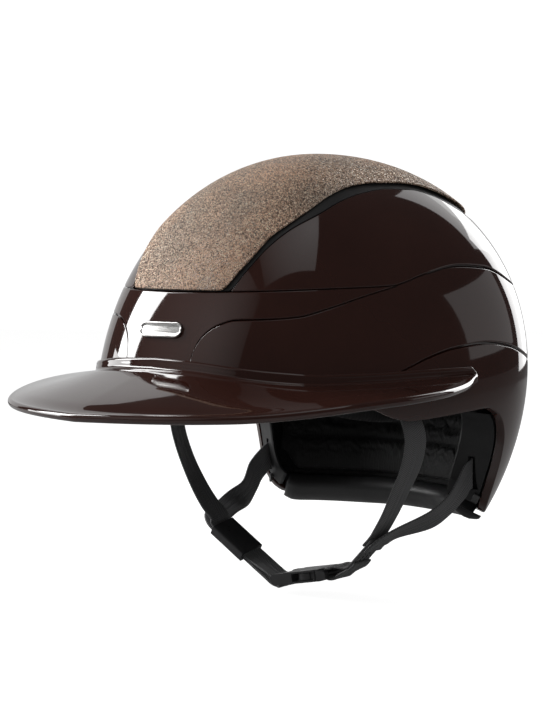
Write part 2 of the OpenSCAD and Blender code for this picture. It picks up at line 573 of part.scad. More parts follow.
left_front_route = concat(
    [[at_anchor(1, [0, 0, 0.6]), [0.2, 1, 0]], [at_anchor(1, [0.2, 0, -3.8]), [0.2, 1, 0]],
     [at_anchor(1, [2.2, 0.4, -9.8]), [0.2, 1, 0]], [at_anchor(1, [2.4, 1.6, -16.8]), [0.2, 1, 0]],
     [[93.8, -10, -36], [0.18, 1, 0]], [[88.8, -8.2, -45.5], [0.14, 1, 0.02]],
     [[81.6, -6, -55.4], [0.1, 1, 0.05]], [[70, -2.5, -71.2], [0.02, 1, 0.07]]],
    with([on_joint(-4, -layer - 0.5), on_joint(1, -layer), on_joint(7, -layer)], chin_wide(buckle_roll)));
left_rear_route = concat(
    [[in_slot(1, -0.4, -0.3), [0, 0, -1]], [from_slot(1, [-0.7, -4.4, -3.4]), [-0.05, 0.15, -1]],
     [from_slot(1, [-1.6, -10.4, -10.6]), [-0.2, 0.42, -0.86]],
     [from_slot(1, [-3.4, -17.6, -18.2]), [-0.32, 0.52, -0.78]],
     [[75.1, 27.4, -77.1], [-0.36, 0.62, -0.7]]],
    [into_joint(52, 0.6, 8), into_joint(52, 0.4), into_joint(26, 0.2), into_joint(0, 0)],
    with([on_joint(9, layer)], chin_wide(buckle_roll)));
module left_front_strap() color(black) ribbon(left_front_route);
module left_rear_strap() color(black) ribbon(left_rear_route);
module right_front_strap() color(black) ribbon(right_front_route);
module right_rear_strap() color(black) ribbon(right_rear_route);

// Plate with rounded corners, from x0 to x1, centred in y and z
module slab(x0, x1, w, h, r) {
    translate([(x0 + x1) / 2, 0, -h / 2]) linear_extrude(h) {
        square([x1 - x0 - 2 * r, w], center = true);
        square([x1 - x0, w - 2 * r], center = true);
        for (sx = [-1, 1], sy = [-1, 1])
            translate([sx * ((x1 - x0) / 2 - r), sy * (w / 2 - r)]) circle(r, $fn = 24);
    }
}
module bar(at, w, r) translate([at[0], 0, at[1]]) rotate([90, 0, 0])
    cylinder(r = r, h = w, center = true, $fn = 32);
// Side plate of the buckle seen from the side, rounded at one end
module cheek(x0, x1, h, turn_end) for (s = [-1, 1]) translate([0, s * (buckle_w / 2 - cheek_t / 2), 0])
    rotate([90, 0, 0]) linear_extrude(cheek_t, center = true) {
        translate([x0 + (turn_end ? 0 : h / 2), -h / 2]) square([x1 - x0 - h / 2, h]);
        translate([turn_end ? x1 - h / 2 : x0 + h / 2, 0]) circle(h / 2, $fn = 32);
    }
cheek_t = (buckle_w - web_w) / 2 - run;
side_wall = 1.5;
cavity_half = buckle_w / 2 - side_wall;
plate_gap = buckle_h - 2 * buckle_plate;

// Female half: ladder lock, housing with side windows
module buckle_female() color(black) buckle_frame() {
    difference() {
        slab(block_x0, mouth_x, buckle_w, buckle_h, 1.2);
        // Cavity for the prongs
        translate([(window_x0 + mouth_x) / 2 + 1, 0, 0])
            cube([mouth_x - window_x0 + 2, 2 * cavity_half, plate_gap], center = true);
        // Side windows
        translate([(window_x0 + window_x1) / 2, 0, 0])
            cube([window_x1 - window_x0, buckle_w + 2, plate_gap], center = true);
    }
    cheek(ladder_x0, block_x0 + 2, buckle_h - 0.6, false);
    bar(ladder_bar, buckle_w - cheek_t, bar_r);
    bar(end_bar, buckle_w - cheek_t, bar_r);
}

// Male half: base block with the prongs' pockets, and the bar of the loop
prong_half = 1;
hinge_x = base_x0 + 1;
hinge_y = cavity_half - prong_half - run;
arm_h = plate_gap - 2 * run;
pocket_w = 2 * prong_half + 1.2;
module buckle_male() color(black) buckle_frame() {
    difference() {
        union() {
            slab(base_x0, base_x1, buckle_w, buckle_h, 0.8);
            cheek(base_x0 + 1, male_bar[0] + bar_r + run, buckle_h - 1.6, true);
        }
        for (s = [-1, 1]) translate([hinge_x - 2.4, s * (hinge_y - 0.25), 0])
            cube([2 * (2.4 + prong_half + run), pocket_w, arm_h + 2 * run], center = true);
    }
    bar(male_bar, buckle_w - cheek_t, bar_r);
}

// Prong: arm, wedge head that fills the window, rounded tip
head_x0 = 2.5;
head_x1 = 13.2;
head_face = cavity_half + 1;
shoulder_face = cavity_half + run;
module prong() translate([0, 0, -arm_h / 2]) linear_extrude(arm_h) {
    inner = hinge_y - prong_half;
    polygon([[hinge_x, inner], [hinge_x, hinge_y + prong_half], [head_x1, hinge_y + prong_half],
             [head_x1, shoulder_face], [head_x1 - 3.4, head_face], [head_x0 + 3.4, head_face],
             [head_x0 + 1, head_face - 1.2], [head_x0, head_face - 2.6], [head_x0 + 0.6, inner - 0.3],
             [head_x0 + 2.4, inner - 0.5], [head_x1, inner]]);
    translate([hinge_x, hinge_y]) circle(prong_half, $fn = 24);
}
module front_prong() color(black) buckle_frame() mirror([0, 1, 0]) prong();
module rear_prong() color(black) buckle_frame() prong();

outer_shell();
upper_cover();
front_panel();
mid_band();
insert_base();
top_insert();
front_badge();
visor();
foam_liner();
liner_trim();
nape_trim();
crown_pad();
headband_pad();
occipital_pad();
left_notch_cover();
right_notch_cover();
left_strap_tab();
right_strap_tab();
left_anchor();
right_anchor();
left_front_strap();
left_rear_strap();
right_front_strap();
right_rear_strap();
left_strap_joint();
strap_divider();
chin_strap();
buckle_female();
buckle_male();
front_prong();
rear_prong();
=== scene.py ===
"""Riding helmet: finished panels, brim, liner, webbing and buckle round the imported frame.

Sizes are in millimetres and are turned into metres where a mesh is made. A place on the
shell is (phi, psi, o): phi is the angle round the head from the front, psi the angle above
the headband line, o the distance out of the skin.
"""
import bmesh
import bpy
import numpy as np
from mathutils import Matrix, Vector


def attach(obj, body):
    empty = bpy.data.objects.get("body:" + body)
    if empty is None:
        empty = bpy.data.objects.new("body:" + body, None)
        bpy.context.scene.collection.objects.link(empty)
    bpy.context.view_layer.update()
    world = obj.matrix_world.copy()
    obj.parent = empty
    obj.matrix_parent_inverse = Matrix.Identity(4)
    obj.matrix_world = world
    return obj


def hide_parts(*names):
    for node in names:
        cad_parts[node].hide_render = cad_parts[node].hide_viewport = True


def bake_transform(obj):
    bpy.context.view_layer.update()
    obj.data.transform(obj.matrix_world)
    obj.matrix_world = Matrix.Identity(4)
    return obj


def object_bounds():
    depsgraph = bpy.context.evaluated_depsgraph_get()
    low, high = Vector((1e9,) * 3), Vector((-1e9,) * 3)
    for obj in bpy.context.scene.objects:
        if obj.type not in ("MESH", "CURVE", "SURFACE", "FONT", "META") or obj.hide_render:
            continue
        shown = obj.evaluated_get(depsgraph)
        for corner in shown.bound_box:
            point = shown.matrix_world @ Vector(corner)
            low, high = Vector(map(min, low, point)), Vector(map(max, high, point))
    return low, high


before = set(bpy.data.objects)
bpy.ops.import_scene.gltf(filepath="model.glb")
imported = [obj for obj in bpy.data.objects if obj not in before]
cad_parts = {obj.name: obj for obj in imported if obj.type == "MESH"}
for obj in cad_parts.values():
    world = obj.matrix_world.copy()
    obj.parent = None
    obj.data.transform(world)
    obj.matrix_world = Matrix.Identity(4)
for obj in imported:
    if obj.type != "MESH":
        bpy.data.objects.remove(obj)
cad_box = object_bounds()
MM = 0.001

# Sizes of the shell and its layers
SHELL_A, SHELL_B, CROWN_H, NAPE_H = 133.0, 110.0, 137.0, 156.0
EGG, SQUARE_X, SQUARE_Y, BROAD, LEAN, LEAN_BACK = 0.2, 0.07, 0.04, 0.03, 18.0, 8.0
PANEL_WALL, SHELL_WALL, FOAM_WALL, LAYER_GAP, SEAM = 1.8, 2.2, 14.0, 0.7, 0.3
SHELL_OUT = -PANEL_WALL - LAYER_GAP
SHELL_IN = SHELL_OUT - SHELL_WALL
FOAM_OUT = SHELL_IN - LAYER_GAP - 0.2
FOAM_IN = FOAM_OUT - FOAM_WALL
PAD_OUT = FOAM_IN - 1.1
POLE = 89.5
PER_DEGREE = 2.4

# Seam lines and edges on the shell, each a list of (phi, psi)
UPPER_SEAM = [(0, 24.3), (30, 24.7), (60, 25.3), (80, 25.8), (92, 28.8), (104, 30.7), (116, 30),
              (130, 26), (150, 22.5), (180, 21)]
FRONT_SEAM = [(13.5, 8), (15, 11.8), (18, 14.6), (22, 16.4), (28, 17.6), (40, 17.9), (50, 18.4),
              (60, 20.3), (70, 22.8), (82, 25.6)]
LOWER_SEAM = [(0, 6), (30, 5), (60, 3.6), (76, 3.8), (84, 6.2), (90, 8.4), (98, 10.3), (108, 11.1),
              (118, 10.2), (128, 8), (140, 5.6), (160, 4.4), (180, 4)]
COLLAR_LINE = [(0, 8.5), (15, 8.1), (30, 7.1), (45, 6.1), (60, 5.4), (75, 5.4), (90, 5.7), (110, 5.8)]
INSERT_EDGE = [(0, 24.6), (20, 24.7), (21.5, 25.3), (25, 28.9), (30, 33.9), (35, 39.2), (42, 43.4),
               (51, 48.4), (62, 54.4), (75, 58.7), (90, 60.4), (104, 60.4), (116, 59),
               (125, 55.8), (135, 51.5), (150, 46.5), (165, 43.5), (180, 42.5)]
RECESS_EDGE = [(0, 24.4), (22.9, 24.7), (28, 29.7), (35, 36.7), (43.5, 42.2), (56, 47.5),
               (67.5, 52.7), (80, 56.2), (94, 58.1), (107, 57.8), (118, 55), (128.5, 48.6),
               (140, 44), (155, 40), (180, 37.5)]
NOTCH_EDGE = [(-30, 134), (-28.5, 130), (-26, 127), (-22, 124.5), (-16, 122.5), (-12, 121),
              (-9, 119), (-7, 117), (-5.4, 114.6)]
RIM_LINE = ([(0, 2), (40, 0.5), (70, -1.2), (76, -3), (81, -4.8), (86, -5.7), (96, -5.1), (104, -4.4),
             (110, -4)]
            + [(phi, psi) for psi, phi in reversed(NOTCH_EDGE)]
            + [(142, -30.6), (160, -30.6), (180, -30.3)])
FOAM_RIM = [(0, 4), (40, 2.6), (70, -0.5), (86, -1.6), (100, -1.2), (112, -0.6), (117, -1.5),
            (119.6, -4), (121.2, -7), (123.2, -12), (124.7, -16), (126.7, -22), (129.2, -25.8),
            (133, -28), (145, -28.8), (180, -28.4)]
PAD_LOW = [(0, 2.5), (30, 1.5), (60, -3.5), (75, -6.4), (86, -7.4), (98, -6.2), (110, -4)]


def dome(phi, psi, o=0.0):
    """Point of the shell: an egg-shaped, slightly squared ellipse of cos(psi) in plan that
    leans back with height, o millimetres out of the skin."""
    f, s, c = np.radians(phi), np.sin(np.radians(psi)), np.cos(np.radians(psi))
    mean, half = (CROWN_H + NAPE_H) / 2 + o, (CROWN_H - NAPE_H) / 2
    x = (SHELL_B + o) * c * (np.sin(f) * (1 - EGG * np.cos(f)) + SQUARE_X * np.sin(3 * f))
    y = LEAN * s - LEAN_BACK * s * s - (SHELL_A + o) * c * (
        np.cos(f) - SQUARE_Y * np.cos(3 * f) + BROAD * (1 - np.cos(2 * f)))
    return np.stack(np.broadcast_arrays(x, y, (mean + half * s) * s), -1)


def through(knots, x):
    """Cubic Hermite curve through (x, y) knots. The slope at a knot is the harmonic mean of
    its neighbours' chords, and 0 where they turn back."""
    k, x = np.array(knots, float), np.asarray(x, float)
    h = np.diff(k[:, 0])
    d = np.diff(k[:, 1]) / h
    both = d[:-1] * d[1:]
    inner = np.where(both > 0, 2 * both / np.where(both > 0, d[:-1] + d[1:], 1), 0)
    m = np.concatenate([d[:1], inner, d[-1:]])
    i = np.clip(np.searchsorted(k[:, 0], x, side="right") - 1, 0, len(h) - 1)
    t = (x - k[i, 0]) / h[i]
    return (k[i, 1] * (1 + 2 * t) * (1 - t) ** 2 + k[i + 1, 1] * t * t * (3 - 2 * t)
            + h[i] * (m[i] * t * (1 - t) ** 2 - m[i + 1] * t * t * (1 - t)))


def fold(phi):
    """Angle from the front, 0 to 180, the same on both sides."""
    phi = np.abs(phi)
    return np.where(phi > 180, 360 - phi, phi)


def seam_at(line, phi):
    """Height of a seam line at an angle round the head, the same on both sides."""
    return through(line, fold(phi))


def mix(a, b, t):
    """Straight blend from a to b."""
    return a + (b - a) * t


def ease(t):
    """Smooth step from 0 to 1."""
    t = np.clip(t, 0, 1)
    return t * t * (3 - 2 * t)


def unit(v):
    """Vectors scaled to length 1."""
    return v / np.maximum(np.linalg.norm(v, axis=-1, keepdims=True), 1e-12)


def refine(points, n):
    """Cubic Hermite steps between neighbouring points along the first axis, n to each span.
    The slope at a point is the mean of its chords' directions, each weighted by the length
    of the other chord, so short and long spans join without overshoot."""
    p = np.concatenate([2 * points[:1] - points[1:2], points, 2 * points[-1:] - points[-2:-1]])
    d = np.diff(p, axis=0)
    h = np.linalg.norm(d, axis=-1, keepdims=True) + 1e-9
    v = d / h
    m = (v[:-1] * h[1:] + v[1:] * h[:-1]) / (h[:-1] + h[1:])
    a, b, span = points[:-1, None], points[1:, None], h[1:-1, None]
    t = (np.arange(n) / n).reshape((1, n) + (1,) * (points.ndim - 1))
    out = (a * (1 + 2 * t) * (1 - t) ** 2 + b * t * t * (3 - 2 * t)
           + span * (m[:-1, None] * t * (1 - t) ** 2 - m[1:, None] * t * t * (1 - t)))
    return np.concatenate([out.reshape((-1,) + points.shape[1:]), points[-1:]])


# Materials

class Nodes:
    """Short ways to add nodes to a tree."""

    def __init__(self, tree):
        self.tree = tree

    def wire(self, source, socket):
        """Links an output to a socket."""
        self.tree.links.new(source, socket)

    def add(self, kind, *sources, **values):
        """A node with the named sockets or properties set and its first sockets wired."""
        node = self.tree.nodes.new("ShaderNode" + kind)
        for key, value in values.items():
            if key in node.inputs:
                node.inputs[key].default_value = value
            else:
                setattr(node, key, value)
        for source, socket in zip(sources, node.inputs):
            self.wire(source, socket)
        return node

    def math(self, operation, a, b=None):
        """Math node on two sockets or numbers."""
        node = self.add("Math", operation=operation)
        for socket, value in zip(node.inputs, (a, b)):
            if isinstance(value, (int, float)):
                socket.default_value = value
            elif value is not None:
                self.wire(value, socket)
        return node.outputs[0]

    def noise(self, where, scale, detail=3.0, rough=0.5):
        """Noise factor on the given coordinates."""
        return self.add("TexNoise", where, Scale=scale, Detail=detail, Roughness=rough).outputs["Fac"]

    def ramp(self, source, *stops):
        """Colour ramp through (place, colour) stops. One number stands for a grey."""
        node = self.add("ValToRGB", source)
        band = node.color_ramp
        while len(band.elements) < len(stops):
            band.elements.new(0.5)
        for element, (place, colour) in zip(band.elements, stops):
            element.position = place
            element.color = (*np.broadcast_to(colour, 3), 1)
        return node.outputs["Color"]

    def times(self, a, b, share=1.0):
        """Colour a multiplied by colour b, by the given share."""
        node = self.add("Mix", data_type="RGBA", blend_type="MULTIPLY")
        node.inputs[0].default_value = share
        self.wire(a, node.inputs[6])
        self.wire(b, node.inputs[7])
        return node.outputs[2]


class Finish(Nodes):
    """A Principled material with its plain values set on its sockets."""

    def __init__(self, name, base, rough, metallic=0.0, coat=0.0, sheen=0.0, specular=0.5):
        self.material = bpy.data.materials.new(name)
        self.material.use_nodes = True
        super().__init__(self.material.node_tree)
        self.shader = self.tree.nodes["Principled BSDF"]
        for socket, value in (
                ("Base Color", (*base, 1)), ("Roughness", rough), ("Metallic", metallic),
                ("Coat Weight", coat), ("Coat Roughness", 0.03), ("Sheen Weight", sheen),
                ("Sheen Roughness", 0.4), ("Specular IOR Level", specular)):
            self.shader.inputs[socket].default_value = value

    def where(self):
        """The piece's own coordinates."""
        return self.add("TexCoord").outputs["Object"]

    def feed(self, socket, source):
        """Wires an output to a socket of the shader."""
        self.wire(source, self.shader.inputs[socket])

    def bump(self, height, distance, strength=1.0, under=None):
        """Raises the surface by height times distance, in metres, over another bump if given."""
        node = self.add("Bump", Strength=strength, Distance=distance)
        self.wire(height, node.inputs["Height"])
        if under is not None:
            self.wire(under, node.inputs["Normal"])
        self.feed("Normal", node.outputs["Normal"])
        return node.outputs["Normal"]


def lacquer():
    """Dark brown high-gloss paint: a faint cloud in the colour, wipe marks in the gloss and a
    shallow orange peel under a clear coat."""
    paint = Finish("dark_brown_lacquer", (0.058, 0.0192, 0.0138), 0.06, coat=1.0)
    where = paint.where()
    paint.feed("Base Color", paint.ramp(paint.noise(where, 14.0), (0.3, (0.049, 0.016, 0.0115)),
                                        (0.7, (0.066, 0.0226, 0.0162))))
    paint.feed("Roughness", paint.ramp(paint.noise(where, 60.0, 6.0, 0.7), (0.35, 0.04), (0.75, 0.085)))
    paint.bump(paint.noise(where, 420.0, 1.0), 0.00002, 0.25)
    return paint.material


def glitter():
    """Bronze glitter cloth: packed flakes with their own tint, gloss and tilt, in patches."""
    cloth = Finish("bronze_glitter", (0.2, 0.13, 0.1), 0.4, metallic=0.18, specular=0.2)
    where = cloth.where()
    flakes = cloth.add("TexVoronoi", where, Scale=1750.0).outputs["Color"]
    part = cloth.add("SeparateColor", flakes)
    tint = cloth.ramp(part.outputs[0], (0.0, (0.022, 0.017, 0.014)), (0.18, (0.085, 0.066, 0.054)),
                      (0.38, (0.25, 0.185, 0.145)), (0.6, (0.42, 0.30, 0.225)), (0.78, (0.56, 0.45, 0.36)),
                      (0.9, (0.80, 0.66, 0.52)), (1.0, (0.95, 0.86, 0.72)))
    patch = cloth.ramp(cloth.noise(where, 26.0, 4.0), (0.36, (1.4, 1.36, 1.34)), (0.66, (1.9, 1.62, 1.46)))
    cloth.feed("Base Color", cloth.times(tint, patch))
    cloth.feed("Roughness", cloth.ramp(part.outputs[1], (0.1, 0.55), (0.9, 0.26)))
    tilt = cloth.add("VectorMath", flakes, operation="SUBTRACT")
    tilt.inputs[1].default_value = (0.5, 0.5, 0.5)
    lean = cloth.add("VectorMath", tilt.outputs[0], operation="SCALE", Scale=0.7)
    flat = cloth.add("NewGeometry").outputs["Normal"]
    turned = cloth.add("VectorMath", flat, lean.outputs[0], operation="ADD")
    cloth.feed("Normal", cloth.add("VectorMath", turned.outputs[0], operation="NORMALIZE").outputs[0])
    return cloth.material


def moulded(name, base, rough, grain=900.0):
    """Moulded plastic: fine spark-eroded grain and slight rubbing marks in the gloss."""
    plastic = Finish(name, base, rough)
    where = plastic.where()
    plastic.feed("Roughness", plastic.ramp(plastic.noise(where, 90.0, 5.0, 0.65),
                                           (0.3, rough - 0.07), (0.72, rough + 0.12)))
    plastic.bump(plastic.noise(where, grain, 3.0), 0.00004, 0.5)
    return plastic.material


def brushed():
    """Satin metal, brushed along the wearer's left to right."""
    metal = Finish("satin_metal", (0.72, 0.71, 0.70), 0.3, metallic=1.0)
    stretch = metal.add("Mapping", metal.where(), Scale=(1.0, 14.0, 60.0))
    hair = metal.noise(stretch.outputs[0], 120.0, 4.0)
    metal.feed("Roughness", metal.ramp(hair, (0.3, 0.2), (0.7, 0.36)))
    metal.bump(hair, 0.00002, 0.4)
    return metal.material


def bead_foam():
    """Expanded bead foam with pressed cells, darker towards each cell's edge as painted shade
    in the grooves between the beads.
    """
    beads = Finish("bead_foam", (0.01, 0.01, 0.0105), 0.8)
    cells = beads.add("TexVoronoi", beads.where(), Scale=330.0, feature="DISTANCE_TO_EDGE")
    inward = cells.outputs["Distance"]
    # Darker towards each cell's edge: painted shade in the grooves between the beads.
    beads.feed("Base Color", beads.ramp(inward, (0.0, (0.005, 0.005, 0.0053)),
                                        (0.12, (0.011, 0.011, 0.0115))))
    beads.bump(beads.ramp(inward, (0.0, 0.0), (0.2, 1.0)), 0.0002, 0.5)
    return beads.material


def knit():
    """Brushed knit cloth of the liner: crossed rows of loops, soft creases and a little nap."""
    base, rows_a_metre, eighth_turn = (0.007, 0.007, 0.0074), 1500.0, 0.7854
    cloth = Finish("liner_cloth", base, 0.62, sheen=0.12)
    where = cloth.where()
    rows = []
    for turn in ((0.0, 0.0, eighth_turn), (eighth_turn, 0.0, 0.0)):
        slant = cloth.add("Mapping", where, Rotation=turn)
        wave = cloth.add("TexWave", slant.outputs[0], Scale=rows_a_metre / 6.2832, Distortion=0.6)
        rows.append(wave.outputs["Fac"])
    nap = cloth.noise(where, 300.0, 6.0, 0.7)
    cloth.feed("Base Color", cloth.ramp(nap, (0.3, base), (0.8, tuple(1.7 * c for c in base))))
    soft = cloth.bump(cloth.noise(where, 38.0, 5.0, 0.6), 0.0016, 0.5)
    cloth.bump(cloth.math("MULTIPLY", *rows), 0.00025, 0.6, under=soft)
    return cloth.material


def woven():
    """Webbing: on its own map, u runs along and v across in millimetres. Twill ribs run aslant
    from the middle line over fine warp rows, with lighter and darker worn places. The colour
    follows the weave's height: painted shade in its hollows and painted highlight on its ribs."""
    base = (0.15, 0.15, 0.1535)
    web = Finish("webbing", base, 0.55, sheen=0.25)
    place = web.add("UVMap", uv_map="weave").outputs[0]
    u, v = web.add("SeparateXYZ", place).outputs[:2]
    aslant = web.math("MULTIPLY", web.math("ABSOLUTE", v), 3.4)
    twill = web.math("SINE", web.math("ADD", web.math("MULTIPLY", u, 5.2), aslant))
    warp = web.math("SINE", web.math("MULTIPLY", v, 9.5))
    weave = web.math("ADD", web.math("MULTIPLY", twill, 0.3), web.math("MULTIPLY", warp, 0.2))
    height = web.math("ADD", weave, 0.5)
    # Painted shade in the weave's hollows and painted highlight on its ribs: the colour follows the
    # weave's height.
    dark, light = (tuple(share * c for c in base) for share in (0.62, 1.55))
    worn = web.ramp(web.noise(place, 1.6, 5.0, 0.7), (0.3, 0.75), (0.75, 1.25))
    web.feed("Base Color", web.times(web.ramp(height, (0.15, dark), (0.85, light)), worn, 0.7))
    web.bump(height, 0.00018, 0.7)
    return web.material


LACQUER = lacquer()
GLITTER = glitter()
SATIN_METAL = brushed()
BEAD_FOAM = bead_foam()
TRIM_BLACK = moulded("trim_black", (0.034, 0.034, 0.035), 0.38)
BUCKLE_BLACK = moulded("buckle_black", (0.05, 0.05, 0.052), 0.32, 1300.0)
TAB_GREY = moulded("tab_grey", (0.12, 0.12, 0.12), 0.45)
LINER_CLOTH = knit()
WEBBING = woven()
THREAD = Finish("sewing_thread", (0.012, 0.012, 0.013), 0.5, sheen=0.3).material


# Meshes

def placed(name, data):
    """New object in the scene."""
    obj = bpy.data.objects.new(name, data)
    bpy.context.collection.objects.link(obj)
    return obj


def piece(name, parts, nodes=(), body="helmet"):
    """One object from several tubes, each a grid of points in millimetres whose columns run
    round it. A part is (grid, material, closed, flat map): closed joins the last row to the
    first, and open ends are capped. Each part is turned so that its faces point out."""
    vertices, faces, slots, maps, materials = [], [], [], [], []
    start = 0
    for grid, material, closed, flat in parts:
        rows, cols = grid.shape[:2]
        i, j = np.arange(rows if closed else rows - 1)[:, None], np.arange(cols)[None]
        near, far = i * cols, ((i + 1) % rows) * cols
        right, row, wide = (j + 1) % cols, i * (cols + 1), cols + 1
        quads = np.stack([near + j, near + right, far + right, far + j], -1).reshape(-1, 4)
        corner = np.stack([row + j, row + j + 1, row + wide + j + 1, row + wide + j], -1).reshape(-1, 4)
        points = grid.reshape(-1, 3)
        a, b, c, d = (points[quads[:, k]] for k in range(4))
        volume = np.sum(np.cross(b - a, c - a) * a) + np.sum(np.cross(c - a, d - a) * a)
        caps = []
        if not closed:
            caps = [np.arange(cols)[::-1], (rows - 1) * cols + np.arange(cols)]
            for cap in caps:
                fan = points[cap]
                volume += np.sum(np.cross(fan[1:-1] - fan[0], fan[2:] - fan[0]) * fan[0])
        if volume < 0:
            quads, corner = quads[:, ::-1], corner[:, ::-1]
            caps = [cap[::-1] for cap in caps]
        if material not in materials:
            materials.append(material)
        vertices.append(points)
        faces += (quads + start).tolist() + [(cap + start).tolist() for cap in caps]
        slots += [materials.index(material)] * (len(quads) + len(caps))
        if flat is None:
            flat = np.zeros((rows + 1, cols + 1, 2))
        maps.append(flat.reshape(-1, 2)[corner].reshape(-1, 2))
        maps.append(np.zeros((sum(len(cap) for cap in caps), 2)))
        start += len(points)
    mesh = bpy.data.meshes.new(name)
    mesh.from_pydata((np.concatenate(vertices) * MM).tolist(), [], faces)
    for material in materials:
        mesh.materials.append(material)
    mesh.polygons.foreach_set("material_index", slots)
    mesh.polygons.foreach_set("use_smooth", np.ones(len(faces), bool))
    layer = mesh.uv_layers.new(name="weave")
    layer.data.foreach_set("uv", np.concatenate(maps).astype(np.float32).ravel())
    mesh.update()
    obj = placed(name, mesh)
    if nodes:
        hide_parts(*nodes)
    if body:
        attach(obj, body)
    return obj


def solid(grid, material, closed=False):
    """Part with no map."""
    return (grid, material, closed, None)


def edge_arc(n=5):
    """Quarter circle as (in from the edge, down from the face), both 1 at first or last."""
    a = np.radians(np.linspace(0, 90, n))
    return 1 - np.cos(a), 1 - np.sin(a)


def panel_grid(phis, low, high, inner, outer, radius=0.6, n=26):
    """Closed section from low to high, swept round the head: a flat back, rounded outer
    edges of the given radius and n points across the face."""
    aside, down = edge_arc()
    room = np.minimum(radius / PER_DEGREE, 0.45 * np.maximum(high - low, 0.02))[:, None]
    low, high = low[:, None], high[:, None]
    across = np.concatenate([[0.004], np.linspace(0.03, 0.97, n), [0.996]])[None]
    back = np.array([[0.0, 0.33, 0.67, 1.0]])
    psi = np.concatenate([low + room * aside, mix(low + room, high - room, across),
                          high - room * aside[::-1], mix(high, low, back)], 1)
    lift = np.concatenate([outer - radius * down, np.full(n + 2, outer), outer - radius * down[::-1],
                           np.full(back.size, inner)])
    return dome(phis[:, None], psi, lift[None])


def vent(phi):
    """The seams open towards the rear into narrow air slots."""
    return 0.6 + 1.6 * ease((fold(phi) - 84) / 30)


def angles(*spans):
    """Rising angles in spans of (first, end, step)."""
    return np.unique(np.concatenate([np.arange(*span) for span in spans]))


def both_sides(half):
    """Angles from 0 up, and the same to the other side."""
    return np.concatenate([-half[:0:-1], half])


ROUND = np.arange(0, 360, 1.0)
HALF_ROUND = angles((0, 112, 1), (112, 136, 0.5), (136, 180, 1))
RIM_ROUND = np.concatenate([HALF_ROUND, [180.0], 360 - HALF_ROUND[:0:-1]])


def shell_pieces():
    """Structural shell and the painted panels on it."""
    # The skin is bare below the lower seam, stepped in above it and rounded at the rim
    rim = seam_at(RIM_LINE, RIM_ROUND)
    top = seam_at(LOWER_SEAM, RIM_ROUND) - SEAM
    aside, down = edge_arc()
    n, radius, step_share = 46, 0.9, 0.6
    t, curl = np.linspace(0, 1, n)[:, None], radius / PER_DEGREE * aside[:, None]
    rows = np.concatenate([
        mix(POLE, top + 0.4, t), top + 0.05 + 0 * t[:1], top - curl * step_share,
        mix(top - 0.3, rim + 0.7, t), rim + curl[::-1], rim + curl, mix(rim + 0.7, POLE, t)])
    lift = np.concatenate([np.full(n + 1, SHELL_OUT), -radius * step_share * down, np.zeros(n),
                           -radius * down[::-1], SHELL_IN + radius * down, np.full(n, SHELL_IN)])
    piece("shell_skin", [solid(dome(RIM_ROUND, rows, lift[:, None]), LACQUER)], ["outer_shell"])

    def panel(name, node, phis, low, high, n=26):
        piece(name, [solid(panel_grid(phis, low, high, -PANEL_WALL, 0, n=n), LACQUER)], [node])

    phis = np.arange(24, 336.1, 0.8)
    panel("crown_cover", "upper_cover", phis, seam_at(UPPER_SEAM, phis) + SEAM * vent(phis),
          seam_at(RECESS_EDGE, phis) - SEAM / 2, 40)
    phis = both_sides(angles((0, 12, 1), (12, 20, 0.15), (20, 81.1, 0.6)))
    away = np.abs(phis)
    low = np.where(away < FRONT_SEAM[0][0], seam_at(LOWER_SEAM, phis), through(FRONT_SEAM, away)) + SEAM
    panel("forehead_panel", "front_panel", phis, low, seam_at(UPPER_SEAM, phis) - SEAM / 3)
    half = angles((13.8, 20, 0.15), (20, 180.1, 0.8))
    phis = np.concatenate([half, 360 - half[::-1]])
    away = fold(phis)
    low = seam_at(LOWER_SEAM, phis) + SEAM * np.where(away < 84, 0, vent(phis) / 2)
    high = np.where(away < 82, through(FRONT_SEAM, away), seam_at(UPPER_SEAM, phis) - SEAM / 2)
    panel("sweep_band", "mid_band", phis, low, high)
    # Black frame of the insert, a closed ring
    low = seam_at(RECESS_EDGE, ROUND) + SEAM / 2 + 0.1
    ring = panel_grid(ROUND, low, low + 13, -PANEL_WALL, -0.5, 0.4, 12)
    piece("insert_frame", [solid(ring, TRIM_BLACK, True)], ["insert_base"])


def top_insert():
    """Glitter insert: the shell's surface raised, with its tail lifted over the outlet and a
    rolled edge."""
    wall, proud, tail, roll, n = 1.2, 1.6, 0.8, 0.55, 70
    edge = seam_at(INSERT_EDGE, ROUND)
    aside, down = edge_arc(6)
    t, curl = np.linspace(0, 1, n)[:, None], roll / PER_DEGREE * aside[:, None]
    psi = np.concatenate([mix(POLE, edge + 0.5, t), edge + curl[::-1], edge + curl,
                          mix(edge + 0.5, POLE, t)])
    lift = np.concatenate([np.full(n, proud), proud - roll * down[::-1], proud - wall + roll * down,
                           np.full(n, proud - wall)])[:, None]
    flat = dome(ROUND, psi, lift)
    raised = lift + tail * ease((flat[..., 1] - 10) / 90)
    piece("glitter_insert", [solid(dome(ROUND, psi, raised), GLITTER)], ["top_insert"])


